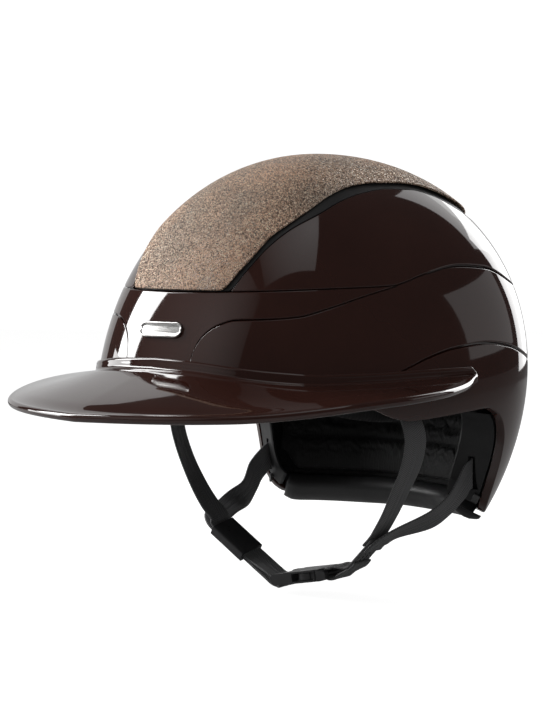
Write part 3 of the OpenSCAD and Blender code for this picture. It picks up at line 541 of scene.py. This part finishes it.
def badge():
    """Plain pill-shaped plate with a raised border, swept along its length."""
    width, height, thick, psi0 = 34.0, 10.0, 1.6, 15.0
    half_phi = np.degrees(width / 2 / SHELL_B) / (1 - EGG + 3 * SQUARE_X)
    half_psi = np.degrees(height / 2 / NAPE_H)
    s = (np.sin(np.linspace(-np.pi / 2, np.pi / 2, 80)) * 0.9999)[:, None]
    end = height / width
    tall = half_psi * np.sqrt(1 - np.maximum(0, (np.abs(s) - (1 - end)) / end) ** 2)
    v = np.array([-1, -0.97, -0.9, -0.8, -0.74, -0.68, -0.3, 0, 0.3, 0.68, 0.74, 0.8, 0.9, 0.97, 1])
    border = np.array([0, 0.9, 1.25, 1.3, 1.2, 0.8, 0.8, 0.8, 0.8, 0.8, 1.2, 1.3, 1.25, 0.9, 0])
    rise = thick / border.max() * border
    lip = thick * ease((1 - np.abs(s)) / 0.02)
    tip = (np.abs(v) < 0.75) & (np.abs(s) > 0.93)
    rise = np.minimum(np.where(tip, np.maximum(rise, 0.85 * lip), rise), lip + 0.001)
    front = dome(s * half_phi, psi0 + v * tall, 0.3 + rise)
    back = dome(s * half_phi, psi0 + v[::-1] * tall, 0.3)
    grid = np.concatenate([front, back[:, 1:-1]], 1)
    piece("badge_plate", [solid(grid, SATIN_METAL)], ["front_badge"])


def brim():
    """Collar bead, concave sweep and rounded lip, one closed section at each angle."""
    reach, lip_z, wall, lip_h, bead, last = 187.0, -11.0, 2.6, 5.0, 1.6, 104.0
    drawn_in = [(0, 0), (30, -7), (60, -29), (75, -45.5), (90, -62), (104, -73), (112, -75)]
    raised = [(0, 0), (30, 2), (60, 9.4), (90, 13.6), (104, 17), (112, 17.6)]
    phi, fit = both_sides(angles((0, 96, 1), (96, 104.01, 0.2))), 0.4
    top = seam_at(COLLAR_LINE, phi)
    root = dome(phi, top - 2, fit + bead)
    turn = np.arctan2(root[:, 0], -root[:, 1])
    r0 = np.hypot(root[:, 0], root[:, 1])
    away = np.degrees(np.abs(turn))
    r1 = np.maximum(r0 + 1.2, reach + through(drawn_in, away))
    z1 = lip_z + through(raised, away)
    k = np.minimum(1, (r1 - r0) / 14)
    r_end, z_end = r1 - 3 * k, z1 + lip_h
    drop, span = root[:, 2] - z_end, r_end - r0

    def bezier(a, b, c, d, t):
        return a * (1 - t) ** 3 + 3 * b * t * (1 - t) ** 2 + 3 * c * t * t * (1 - t) + d * t ** 3

    def ring(r, z):
        return np.stack([r * np.sin(turn), -r * np.cos(turn), z], -1)

    sweep = [(bezier(r0, r0 + 0.31 * span, r0 + 0.67 * span, r_end, t),
              bezier(root[:, 2], root[:, 2] - 0.32 * drop, z_end + 0.45 * drop, z_end, t))
             for t in (0.12, 0.25, 0.4, 0.55, 0.7, 0.85, 1)]
    nose = [(r1 - back * k, z1 + up * lip_h)
            for back, up in ((0.9, 0.88), (0, 0.6), (0.3, 0.2), (1.6, 0), (3.4, 0.12))]
    under = [(np.minimum(sweep[i][0], r1 - 4 * k - 0.4 * (6 - i)),
              sweep[i][1] - mix(wall + 0.6, wall, i / 5)) for i in (5, 4, 2, 0)]
    collar = [dome(phi, top - fall, fit + share * bead)
              for fall, share in ((0, 0), (0, 0.6), (0.35, 1), (0.9, 1), (1.4, 1))]
    visible = np.stack(collar + [root] + [ring(*p) for p in sweep + nose + under])
    foot = top - 4.2
    loop = np.concatenate([refine(visible, 5), [dome(phi, foot, fit + 0.8), dome(phi, foot, fit)]])
    middle = dome(phi, top - 2, fit + 1)[None]
    fade = mix(0.45, 1, ease((last - np.abs(phi)) / 1.6))[None, :, None]
    piece("brim", [solid(np.swapaxes(mix(middle, loop, fade), 0, 1), LACQUER)], ["visor"])


def foam():
    """Foam bowl with rounded rim, the bound strip under it and the rolled nape trim."""
    edge = seam_at(FOAM_RIM, RIM_ROUND)
    aside, down = edge_arc(6)
    n, radius, outer_share = 44, 3.0, 0.4
    t, curl = np.linspace(0, 1, n)[:, None], radius / PER_DEGREE * aside[:, None]
    psi = np.concatenate([mix(POLE, edge + 1.6, t), edge + curl[::-1] * outer_share, edge + curl,
                          mix(edge + 1.6, POLE, t)])
    lift = np.concatenate([np.full(n, FOAM_OUT), FOAM_OUT - outer_share * radius * down[::-1],
                           FOAM_IN + radius * down, np.full(n, FOAM_IN)])
    piece("foam_bowl", [solid(dome(RIM_ROUND, psi, lift[:, None]), BEAD_FOAM)], ["foam_liner"])

    phi = np.concatenate([-np.arange(0.5, 109.1, 1.0)[::-1], np.arange(0, 109.1, 1.0)])
    e = seam_at(FOAM_RIM, phi) - 0.15
    pleat = 0.12 * np.sin(np.radians(phi * 40)) * np.sin(np.radians(phi * 7 + 20))
    loop = np.stack([dome(phi, e + rise, o) for rise, o in (
        (0, FOAM_IN + 0.1), (-0.5, FOAM_IN + 0.3), (-0.8 + pleat, FOAM_IN + 1.2),
        (-0.95 - pleat, mix(FOAM_IN, FOAM_OUT, 0.35)), (-0.95 + pleat, mix(FOAM_IN, FOAM_OUT, 0.7)),
        (-0.7, FOAM_OUT - 0.2), (0, FOAM_OUT - 0.2))])
    binding = solid(np.swapaxes(refine(loop, 3), 0, 1), LINER_CLOTH)
    piece("foam_edge_binding", [binding], ["liner_trim"])

    half = np.arange(134, 180.1, 0.7)
    phi = np.concatenate([half, 360 - half[::-1]])
    e, f = seam_at(RIM_LINE, phi), seam_at(FOAM_RIM, phi)
    low = e - 0.6 - 1.6 * ease((fold(phi) - 130) / 8)
    out = -0.6
    loop = np.stack([dome(phi, psi, o) for psi, o in (
        (e - 1.1, SHELL_IN - 0.6), (f - 0.4, SHELL_IN - 0.6), (f - 0.7, FOAM_IN - 2.6),
        (mix(e, low, 0.1), FOAM_IN - 3), (mix(e, low, 0.7), FOAM_IN - 2), (low - 0.1, FOAM_IN + 2),
        (low, out - 2), (mix(e, low, 0.7), out), (e - 1.1, out))])
    piece("nape_roll", [solid(np.swapaxes(refine(loop, 5), 0, 1), TRIM_BLACK)], ["nape_trim"])


shell_pieces()
top_insert()
badge()
brim()
foam()


# Liner pads

def puff(obj, held):
    """Blows a sewn cushion up with Blender's Cloth and keeps the result: held is the share,
    0 to 1, by which each point is sewn down. The same start gives the same result each run."""
    frames, most = 14, 1.6
    mesh = obj.data
    start = np.empty(len(mesh.vertices) * 3)
    mesh.vertices.foreach_get("co", start)
    group = obj.vertex_groups.new(name="sewn")
    held = np.round(held, 1)
    for level in np.unique(held):
        group.add(np.flatnonzero(held == level).tolist(), float(level), "REPLACE")
    cloth = obj.modifiers.new("inflate", "CLOTH")
    for name, value in (("quality", 6), ("mass", 0.15), ("tension_stiffness", 12),
                        ("compression_stiffness", 12), ("shear_stiffness", 4), ("bending_stiffness", 0.3),
                        ("vertex_group_mass", "sewn"), ("use_pressure", True),
                        ("uniform_pressure_force", 2.5), ("shrink_min", -0.04)):
        setattr(cloth.settings, name, value)
    cloth.settings.effector_weights.gravity = 0
    cloth.collision_settings.use_collision = False
    cloth.point_cache.frame_start, cloth.point_cache.frame_end = 1, frames
    scene = bpy.context.scene
    for f in range(1, frames + 1):
        scene.frame_set(f)
    shaped = obj.evaluated_get(bpy.context.evaluated_depsgraph_get()).to_mesh()
    end = np.empty_like(start)
    shaped.vertices.foreach_get("co", end)
    obj.to_mesh_clear()
    obj.modifiers.remove(cloth)
    obj.vertex_groups.remove(group)
    move = (end - start).reshape(-1, 3)
    size = np.linalg.norm(move, axis=1, keepdims=True)
    move *= np.minimum(1, most * MM / np.maximum(size, 1e-9))
    mesh.vertices.foreach_set("co", (start.reshape(-1, 3) + move).ravel())
    mesh.update()
    scene.frame_set(1)


BACK = np.array([[0.08, 0.29, 0.5, 0.71, 0.92]])
PAD_EDGE = 0.8


def cushion(name, node, phi, low, high, thick, across, n=36, ribs=1):
    """Cushion swept round the head: flat to the foam and crowned inside, drawn in at its
    edges, with ribs - 1 channels along it. It is sewn down fully at its back and edges, by the
    share across in each row, and along its ribs."""
    u = np.linspace(1, 0, n)[None]
    edge, rib = np.abs(2 * u - 1) ** 3.5, (1 - np.abs(np.sin(np.pi * ribs * u))) ** 2
    phi, low, high, thick = (a[:, None] for a in (phi, low, high, thick))
    lift = PAD_OUT - PAD_EDGE - (thick - PAD_EDGE) * (1 - edge) * (1 - 0.16 * rib)
    front = dome(phi, mix(low, high, u), lift)
    grid = np.concatenate([dome(phi, mix(low, high, BACK), PAD_OUT), front], 1)
    held = np.ones(grid.shape[:2])
    held[2:-2, BACK.size:] = np.maximum(np.maximum(edge, 0.7 * rib if ribs > 1 else 0), across[2:-2, None])
    obj = piece(name, [solid(grid, LINER_CLOTH)], [node])
    puff(obj, held.ravel())


def pads():
    """Headband, occipital and crown pads."""
    end = 110.0
    phi = np.linspace(-end, end, 260)
    low = seam_at(PAD_LOW, phi)
    ends = 0.35 + 0.65 * ease((end - np.abs(phi)) / 9)
    block = np.abs(np.sin(np.radians(180 * phi / 22)))
    middle = low + 7.5
    shrink = 0.6 + 0.4 * ends
    cushion("headband_cushion", "headband_pad", phi, mix(middle, low, shrink),
            mix(middle, low + 15, shrink), 7.0 * (0.72 + 0.28 * block ** 0.5) * ends, 1 - block ** 0.5)
    start = 129.0
    phi = np.linspace(start, 360 - start, 200)
    near = ease((fold(phi) - start) / 10)
    shrink = 0.55 + 0.45 * near
    cushion("nape_cushion", "occipital_pad", phi, mix(-14, -27.2, shrink), mix(-14, 0, shrink),
            7.5 * (0.3 + 0.7 * near), 0.2 * np.abs(np.sin(np.radians(7 * phi))), 60, 3)
    phi = np.arange(0, 360, 2.0)
    u, edge, thick = np.linspace(0, 1, 24)[::-1, None], 60.0, 5.0
    channel = 1 - 0.3 * (1 - np.abs(np.sin(np.radians(2 * phi)))) ** 3 * u
    inner = dome(phi, mix(POLE, edge, u), PAD_OUT - PAD_EDGE - (thick - PAD_EDGE) * (1 - u ** 4) * channel)
    outer = dome(phi, mix(POLE, edge + 1, u[::-1]), PAD_OUT)
    crown = solid(np.concatenate([outer, inner]), LINER_CLOTH)
    piece("crown_cushion", [crown], ["crown_pad"])


pads()


# Harness

CHIN = np.array([0.0, 3.0, -105.0])
WEB_W, WEB_T, RUN = 15.0, 1.5, 0.3
LAYER = WEB_T + RUN
BAR_R = 1.4
WRAP_R = BAR_R + RUN + WEB_T / 2
TURN_R = WEB_W / 2 + 1.5
STEPS = 8


def heading(angle):
    """Direction in a chin plane, angle degrees from x towards z."""
    a = np.radians(angle)
    return np.array([np.cos(a), np.sin(a)])


def on_chin(p, roll):
    """Place on a chin plane that leans back by roll degrees."""
    c, s = heading(roll)
    return CHIN + np.array([p[0], -p[1] * s, p[1] * c])


def along(top, way, s, h):
    """Place s from top along a direction and h to its left."""
    return top + s * way + h * np.array([-way[1], way[0]])


DIVIDER_ROLL, DIVIDER_TOP, DIVIDER_WAY, DIVIDER_L = 14.0, np.array([-70.0, 15.0]), heading(-36.0), 27.0
BUCKLE_ROLL, BUCKLE_AT, BUCKLE_WAY = 4.0, np.array([-3.2, -10.1]), heading(10.0)
JOINT_TOP, JOINT_WAY, JOINT_L = np.array([57.5, 17.5]), unit(np.array([-17.5, -16.0])), 26.0
DIVIDER_WIDE, BUCKLE_WIDE = (np.array([0.0, *heading(roll)]) for roll in (DIVIDER_ROLL, BUCKLE_ROLL))
DIVIDER_AHEAD = on_chin(DIVIDER_WAY, DIVIDER_ROLL) - CHIN
JOINT_AHEAD = on_chin(JOINT_WAY, BUCKLE_ROLL) - CHIN
ANCHOR = dome(88.3, -4.2, SHELL_IN - 3.2)
SLOT_PSI, SLOT_O, SLOT_T, COVER_LIFT, COVER_T = -21.75, -13.0, 3.6, 0.35, 1.35
SLOT_EXIT = dome(through(NOTCH_EDGE, SLOT_PSI) + COVER_LIFT + COVER_T / 2, SLOT_PSI, SLOT_O)
SLOT_EXIT[0] += RUN + WEB_T / 2 - SLOT_T / 2


def on_divider(s, h):
    """Point s down the divider and h out of its middle plane."""
    return on_chin(along(DIVIDER_TOP, DIVIDER_WAY, s, h), DIVIDER_ROLL)


def on_joint(s, h):
    """Point s down the sewn joint and h out of its middle plane."""
    return on_chin(along(JOINT_TOP, JOINT_WAY, s, h), BUCKLE_ROLL)


def arc(centre, radius, a0, a1, n):
    """n + 1 places on a circle."""
    return [np.array(centre) + radius * heading(a) for a in np.linspace(a0, a1, n + 1)]


# A route is a list of (centre, width direction) pairs. These give parts of one.

def beside(base, side, *steps):
    """Offsets from base and width directions, with x mirrored where side is -1."""
    return [((base + d) * (side, 1, 1), wide) for d, wide in steps]


def flat_on_chin(places):
    """Places on the buckle's chin plane."""
    return [(on_chin(p, BUCKLE_ROLL), BUCKLE_WIDE) for p in places]


def through_buckle(places):
    """Places along the buckle."""
    return flat_on_chin([along(BUCKLE_AT, BUCKLE_WAY, *p) for p in places])


def down_joint(h, *steps):
    """Distances down the sewn joint, h out of its middle plane."""
    return [(on_joint(s, h), BUCKLE_WIDE) for s in steps]


def down_divider(h, *steps):
    """Distances down the divider, h out of its middle plane."""
    return [(on_divider(s, h), DIVIDER_WIDE) for s in steps]


def flat_turn(angle, back, wide, ahead, place):
    """Place and width direction of a rear strap as it turns in its own plane. place gives the
    point of the straight part a distance along it. wide and ahead are that part's directions."""
    c, s = heading(angle)
    return place(-TURN_R * s - back * c) + (TURN_R * (1 - c) + back * s) * wide, s * ahead + c * wide


def turning(angle, h, back=0.0):
    """The right rear strap on its way into the divider."""
    return flat_turn(angle, back, DIVIDER_WIDE, DIVIDER_AHEAD, lambda s: on_divider(s - 1, -LAYER / 2 - h))


def into_joint(angle, h, back=0.0):
    """The left rear strap on its way under the sewn joint."""
    return flat_turn(angle, back, BUCKLE_WIDE, JOINT_AHEAD, lambda s: on_joint(s + 5, LAYER + h))


def band_frame(route):
    """Centre, width and outward directions along a strap, and the length run so far, on a
    uniform Catmull-Rom curve through a route of (centre, width direction). Where the strap is
    crossed on the slant, as in its slot, the width direction is longer than 1, which keeps the
    webbing's own width."""
    r = np.array([np.concatenate([p, w]) for p, w in route], float)
    n = len(r)
    i = np.repeat(np.arange(n - 1), STEPS)
    t = np.tile(np.arange(STEPS) / STEPS, n - 1)[:, None]
    a, b, c, d = r[np.maximum(i - 1, 0)], r[i], r[i + 1], r[np.minimum(i + 2, n - 1)]
    rows = 0.5 * (2 * b + (c - a) * t + (2 * a - 5 * b + 4 * c - d) * t * t
                  + (3 * b - a - 3 * c + d) * t ** 3)
    rows = np.concatenate([rows, r[-1:]])
    centre, wide = rows[:, :3], rows[:, 3:]
    ahead = unit(np.gradient(centre, axis=0))
    across = wide - ahead * np.sum(wide * ahead, 1, keepdims=True)
    wide = wide / np.linalg.norm(across, axis=1, keepdims=True)
    run = np.concatenate([[0], np.cumsum(np.linalg.norm(np.diff(centre, axis=0), axis=1))])
    return centre, wide, np.cross(ahead, unit(across)), run


def strap_grid(route):
    """Webbing: a flat section with rounded selvedges and two shallow channels, carried along
    the route, and its map in millimetres."""
    centre, wide, out, run = band_frame(route)
    half, r = WEB_W / 2, WEB_T / 2
    v = np.linspace(-half + r, half - r, 41)
    channel = 0.16 * np.exp(-((np.abs(v) - 1.7) / 0.55) ** 2)
    bound = 0.07 * ease((np.abs(v) - half + 3.0) / 0.5)
    h = r - channel - 0.07 + bound
    a = np.radians(np.linspace(75, -75, 6))
    section_v = np.concatenate([v, half - r + r * np.cos(a), v[::-1], -half + r - r * np.cos(a)])
    section_h = np.concatenate([h, r * np.sin(a), -h[::-1], -r * np.sin(a)])
    grid = centre[:, None] + wide[:, None] * section_v[:, None] + out[:, None] * section_h[:, None]
    u, v = np.append(run, run[-1])[:, None], np.append(section_v, section_v[0])[None]
    return (grid, WEBBING, False, np.stack(np.broadcast_arrays(u, v), -1))


def stitches(route, face):
    """Sewing thread: rows of short capsules on one face of the start of a strap."""
    lines, start, stop = (-5.6, 5.6, -1.7, 1.7), 1.5, 24
    pitch, long, radius, rings = 3.3, 2.3, 0.24, 7
    centre, wide, out, run = band_frame(route)
    at = np.arange(start, stop, pitch) + pitch / 2
    t = np.linspace(-1, 1, rings)
    fat = radius * np.tile(np.sqrt(np.maximum(0.02, 1 - t ** 4)), len(at))[:, None, None]
    a = np.radians(np.arange(0, 360, 60))[None, :, None]
    s = (at[:, None] + t[None] * long / 2).ravel()
    middle, w, o = (np.stack([np.interp(s, run, q[:, k]) for k in range(3)], 1)[:, None]
                    for q in (centre, wide, out))
    parts = []
    for line in lines:
        grid = middle + w * line + o * face * (WEB_T / 2 - 0.05) + fat * (w * np.cos(a) + o * np.sin(a))
        parts += [solid(capsule, THREAD) for capsule in np.split(grid, len(at))]
    return parts


RIGHT_FRONT = (
    beside(ANCHOR, -1, ((0, 0, 0.6), (-0.2, 1, 0)), ((0.2, 0, -3.8), (-0.2, 1, 0)),
           ((2.2, 0, -9.8), (-0.2, 1, 0)), ((2.6, 0, -17.4), (-0.22, 1, 0)))
    + [((-94, -12, -39), (-0.22, 1, 0.05)), ((-89, -10.4, -52), (-0.2, 1, 0.1)),
       ((-82.6, -7.6, -66), (-0.12, 1, 0.16)), ((-77, -4.5, -76.5), (-0.05, 1, 0.2)),
       ((-72.4, -1.2, -83.6), (0, 1, 0.22))]
    + down_divider(LAYER / 2 + 1.1, -2.5) + down_divider(LAYER / 2 + 0.12, 0.5)
    + down_divider(LAYER / 2 + 0.02, 4) + down_divider(LAYER / 2, DIVIDER_L / 2))
RIGHT_REAR = (
    beside(SLOT_EXIT, -1, ((0, -0.4, -0.3), (0, 0, -1)), ((0.6, -4.4, -3.2), (0, 0.1, -1)),
           ((2.4, -11.2, -10.4), (0.05, 0.45, -0.85)), ((1.3, -20.4, -22), (0, 0.65, -0.7)))
    + [turning(78, 1.6, 14), turning(77, 1.5, 6), turning(75, 1.3), turning(50, 0.7),
       turning(25, 0.3), turning(0, 0.08)]
    + down_divider(-LAYER / 2, 5, DIVIDER_L / 2))
LEFT_FRONT = (
    beside(ANCHOR, 1, ((0, 0, 0.6), (0.2, 1, 0)), ((0.2, 0, -3.8), (0.2, 1, 0)),
           ((2.2, 0.4, -9.8), (0.2, 1, 0)), ((2.4, 1.6, -16.8), (0.2, 1, 0)))
    + [((93.8, -10, -36), (0.18, 1, 0)), ((88.8, -8.2, -45.5), (0.14, 1, 0.02)),
       ((81.6, -6, -55.4), (0.1, 1, 0.05)), ((70, -2.5, -71.2), (0.02, 1, 0.07))]
    + down_joint(-LAYER - 0.5, -4) + down_joint(-LAYER, 1, 7))
LEFT_REAR = (
    beside(SLOT_EXIT, 1, ((0, -0.4, -0.3), (0, 0, -1)), ((-0.7, -4.4, -3.4), (-0.05, 0.15, -1)),
           ((-1.6, -10.4, -10.6), (-0.2, 0.42, -0.86)), ((-3.4, -17.6, -18.2), (-0.32, 0.52, -0.78)))
    + [((75.1, 27.4, -77.1), (-0.36, 0.62, -0.7)), into_joint(52, 0.6, 8), into_joint(52, 0.4),
       into_joint(26, 0.2), into_joint(0, 0)]
    + down_joint(LAYER, 9))
BAR_AT = along(BUCKLE_AT, BUCKLE_WAY, 25.3 + 0.9, 0)
JOINT = (
    down_joint(0, 0, 9, 18, JOINT_L)
    + flat_on_chin([(34, -1.1), (29, -0.9), (25, -1.2)] + arc(BAR_AT, WRAP_R + 0.9, 78, 282, 6)
                   + [(26.8, -8.1), (31, -5.2), (35, -3.2)])
    + down_joint(LAYER, JOINT_L - 1, JOINT_L - 6))
CHIN_ROUTE = (
    down_divider(LAYER / 2, DIVIDER_L / 2 + 1, DIVIDER_L - 1, DIVIDER_L + 4)
    + through_buckle([(-26, 5), (-21.5, 1.8), (-16.8, 0.9)] + arc((-11.9, -1.2), WRAP_R, 95, -85, 5)
                     + arc((-17, -2.4), WRAP_R, -70, -130, 2) + [(-22.5, -2.6), (-27.5, 1.6)])
    + down_divider(-LAYER / 2, DIVIDER_L + 3, DIVIDER_L - 1, DIVIDER_L / 2 + 1))


def harness():
    """Straps, the sewn joint with its stitched rows, and the doubled chin strap. The left
    straps are baked in place on no body; the upper and lower points listed with them, in metres, are not
    used."""
    piece("right_front_web", [strap_grid(RIGHT_FRONT)], ["right_front_strap"])
    piece("right_rear_web", [strap_grid(RIGHT_REAR)], ["right_rear_strap"])
    for end, route, upper, lower in (
            ("front", LEFT_FRONT, (0.088, -0.008, -0.045), (0.060, -0.001, -0.085)),
            ("rear", LEFT_REAR, (0.080, 0.045, -0.062), (0.059, 0.008, -0.087))):
        obj = piece(f"left_{end}_web", [strap_grid(route)], [f"left_{end}_strap"], body=None)
        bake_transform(obj)
    piece("joint_web", [strap_grid(JOINT)] + stitches(JOINT, 1) + stitches(JOINT, -1),
          ["left_strap_joint"], body="release")
    piece("chin_web", [strap_grid(CHIN_ROUTE)], ["chin_strap"])


harness()


def softened(node, name, material, width=0.3, body="helmet"):
    """Merged copy of a plain moulded node with rolled edges."""
    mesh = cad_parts[node].data.copy()
    mesh.name = name
    work = bmesh.new()
    work.from_mesh(mesh)
    bmesh.ops.remove_doubles(work, verts=work.verts, dist=2e-6)
    bmesh.ops.dissolve_limit(work, angle_limit=0.01, verts=work.verts, edges=work.edges)
    work.to_mesh(mesh)
    work.free()
    if "custom_normal" in mesh.attributes:
        mesh.attributes.remove(mesh.attributes["custom_normal"])
    mesh.materials.clear()
    mesh.materials.append(material)
    mesh.polygons.foreach_set("use_smooth", np.ones(len(mesh.polygons), bool))
    obj = placed(name, mesh)
    roll = obj.modifiers.new("rolled_edges", "BEVEL")
    roll.width = width * MM
    roll.segments = 3
    roll.limit_method = "ANGLE"
    roll.angle_limit = np.radians(35)
    roll.harden_normals = True
    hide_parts(node)
    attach(obj, body)


for node, name, width, body in (
        ("buckle_female", "buckle_housing", 0.35, "helmet"),
        ("buckle_male", "buckle_plug", 0.3, "release"),
        ("front_prong", "front_arm_moulding", 0.25, "front_arm"),
        ("rear_prong", "rear_arm_moulding", 0.25, "rear_arm"),
        ("strap_divider", "divider_sleeve", 0.3, "divider")):
    softened(node, name, BUCKLE_BLACK, width, body)
for node, name, slot, material in (
        ("notch_cover", "notch_face", "trim", TRIM_BLACK), ("strap_tab", "tab", "tab", TAB_GREY),
        ("anchor", "anchor_block", "trim", TRIM_BLACK)):
    for side in ("left_", "right_"):
        softened(side + node, side + name, material)


# Studio

CENTRE = np.array([0.0, 0.0, 0.03])
VIEW_AZIMUTH, VIEW_ELEVATION, VIEW_ROLL = 42.914, 2.064, 0.125


def toward(azimuth, elevation):
    """Unit direction: azimuth from the object's front (-Y) towards +X, then elevation."""
    az, el = np.radians(azimuth), np.radians(elevation)
    return np.array([np.sin(az) * np.cos(el), -np.cos(az) * np.cos(el), np.sin(el)])


def posed(right, up, back, place):
    """World matrix of an object with these axes at this place."""
    pose = np.eye(4)
    pose[:3, :3] = np.stack([right, up, back], 1)
    pose[:3, 3] = place
    return Matrix(pose.tolist())


def camera():
    """Camera at the photograph's place: aimed past the target so that the target falls where
    it does in the photograph's frame of 543 by 725."""
    wide, tall, focal, distance = 543, 725, 2506.9, 1.5
    target, seen_at = np.array([0, 0, 0.05]), (305.52, 301.97)
    back = toward(VIEW_AZIMUTH, VIEW_ELEVATION)
    right = unit(np.cross([0, 0, 1], back))
    c, s = heading(VIEW_ROLL)
    up = np.cross(back, right)
    right, up = right * c + up * s, up * c - right * s
    look = unit(-back - right * (seen_at[0] - wide / 2) / focal - up * (tall / 2 - seen_at[1]) / focal)
    right = unit(np.cross(look, up))
    data = bpy.data.cameras.new("camera")
    data.sensor_width = 36
    data.lens = data.sensor_width * focal / tall
    data.clip_start, data.clip_end = 0.05, 50
    bpy.context.scene.camera = placed("camera", data)
    bpy.context.scene.camera.matrix_world = posed(right, np.cross(right, look), -look,
                                                  target + back * distance)


def lamp(name, place, aside, axis, size, radiance, spread):
    """Area lamp at a place from the centre, facing back along axis, with its width aside.
    Narrower spreads than 180 degrees dim it away from its axis."""
    data = bpy.data.lights.new(name, "AREA")
    data.shape = "RECTANGLE"
    data.size, data.size_y = size
    data.spread = np.radians(spread)
    half = np.radians(spread / 2)
    narrowed = 1 - half / np.tan(half) if spread < 180 else 1
    data.energy = radiance * np.pi * size[0] * size[1] * narrowed
    placed(name, data).matrix_world = posed(aside, np.cross(axis, aside), axis, CENTRE + place)


def soft_box(name, azimuths, elevations, facing, distance, radiance, spread=180.0):
    """Lamp square to the direction facing that fills the given azimuths and elevations as
    seen from the object."""
    axis = toward(*facing)
    aside = unit(np.cross(axis, (0, 0, 1)))
    above = np.cross(aside, axis)
    sides = [(ray @ aside) / (ray @ axis) for ray in (toward(a, np.mean(elevations)) for a in azimuths)]
    ends = [(ray @ above) / (ray @ axis) for ray in (toward(np.mean(azimuths), e) for e in elevations)]
    lamp(name, distance * (axis + aside * np.mean(sides) + above * np.mean(ends)), aside, axis,
         (distance * abs(sides[1] - sides[0]), distance * abs(ends[1] - ends[0])), radiance, spread)


def slanted_box(name, start, end, far, facing, distance, radiance, spread):
    """Lamp square to the direction facing: one edge runs between the directions start and
    end, and the other side reaches the direction far."""
    axis = toward(*facing)
    a, b, c = (distance * ray / (ray @ axis) for ray in (toward(*d) for d in (start, end, far)))
    edge = unit(b - a)
    depth = c - a - edge * ((c - a) @ edge)
    size = (np.linalg.norm(b - a), np.linalg.norm(depth))
    lamp(name, (a + b + depth) / 2, edge, axis, size, radiance, spread)


def by_ray(nodes, glows):
    """Strength of a glow, from (kind of ray, strength) pairs."""
    rays = nodes.add("LightPath").outputs
    level = 0.0
    for ray, glow in glows:
        level = nodes.math("MAXIMUM", level, nodes.math("MULTIPLY", rays[ray], glow))
    return level


def sheet(name, corners, base, glows):
    """One flat matt sheet of the stage, which also glows for the named kinds of ray."""
    matt = Finish("pale_" + name, (base, base, base), 0.9, specular=0.0)
    light = matt.add("Emission", Color=(1, 1, 1, 1))
    matt.wire(by_ray(matt, glows), light.inputs["Strength"])
    both = matt.add("AddShader", matt.shader.outputs[0], light.outputs[0])
    matt.wire(both.outputs[0], matt.tree.nodes["Material Output"].inputs["Surface"])
    mesh = bpy.data.meshes.new(name)
    mesh.from_pydata([tuple(c) for c in corners], [], [(0, 1, 2, 3)])
    mesh.materials.append(matt.material)
    placed(name, mesh)


def stage():
    """Pale floor, a white backdrop behind the object, the surroundings and the lamps."""
    z, s, far, half, top = cad_box[0][2] - 0.003, 7.0, 3.4, 3, 3
    sheet("floor", [(-s, -s, z), (s, -s, z), (s, s, z), (-s, s, z)], 0.42,
          [("Is Camera Ray", 0.92), ("Is Transmission Ray", 0.92)])
    away, up = -toward(VIEW_AZIMUTH, 0), np.array([0, 0, 1.0])
    aside = np.cross(away, up)
    sheet("backdrop", [away * far + aside * x + up * h
                       for x, h in ((-half, z), (half, z), (half, top), (-half, top))], 0.86,
          [("Is Camera Ray", 0.95), ("Is Transmission Ray", 0.95), ("Is Glossy Ray", 0.4)])
    world = bpy.data.worlds.new("studio")
    bpy.context.scene.world = world
    world.use_nodes = True
    air = Nodes(world.node_tree)
    glow = air.tree.nodes["Background"]
    glow.inputs["Color"].default_value = (1, 1, 1, 1)
    air.wire(by_ray(air, [("Is Camera Ray", 1.0), ("Is Transmission Ray", 1.0), ("Is Glossy Ray", 0.04),
                          ("Is Diffuse Ray", 0.2)]), glow.inputs["Strength"])
    soft_box("left_strip", (-57, -75), (9, 50), (-66, 20), 1.7, 8.5)
    soft_box("left_low_strip", (-57, -80), (-4.5, 9), (-66, 2), 1.7, 3.4)
    soft_box("back_panel", (168.5, 200), (-3, 31), (178, 18), 1.75, 3.4, 100)
    slanted_box("back_panel_top", (163, 29), (177, 49), (198, 34), (182, 30), 1.75, 1.25, 90)
    soft_box("side_card", (131, 162), (4, 24), (146, 12), 1.8, 0.33)
    slanted_box("overhead", (145, 70), (92, 47), (30, 48), (118, 68), 1.8, 0.58, 92)
    soft_box("front_card", (-62, 18), (2, 56), (-22, 30), 1.9, 0.3, 84)


camera()
stage()
bpy.context.scene.view_settings.view_transform = "Standard"
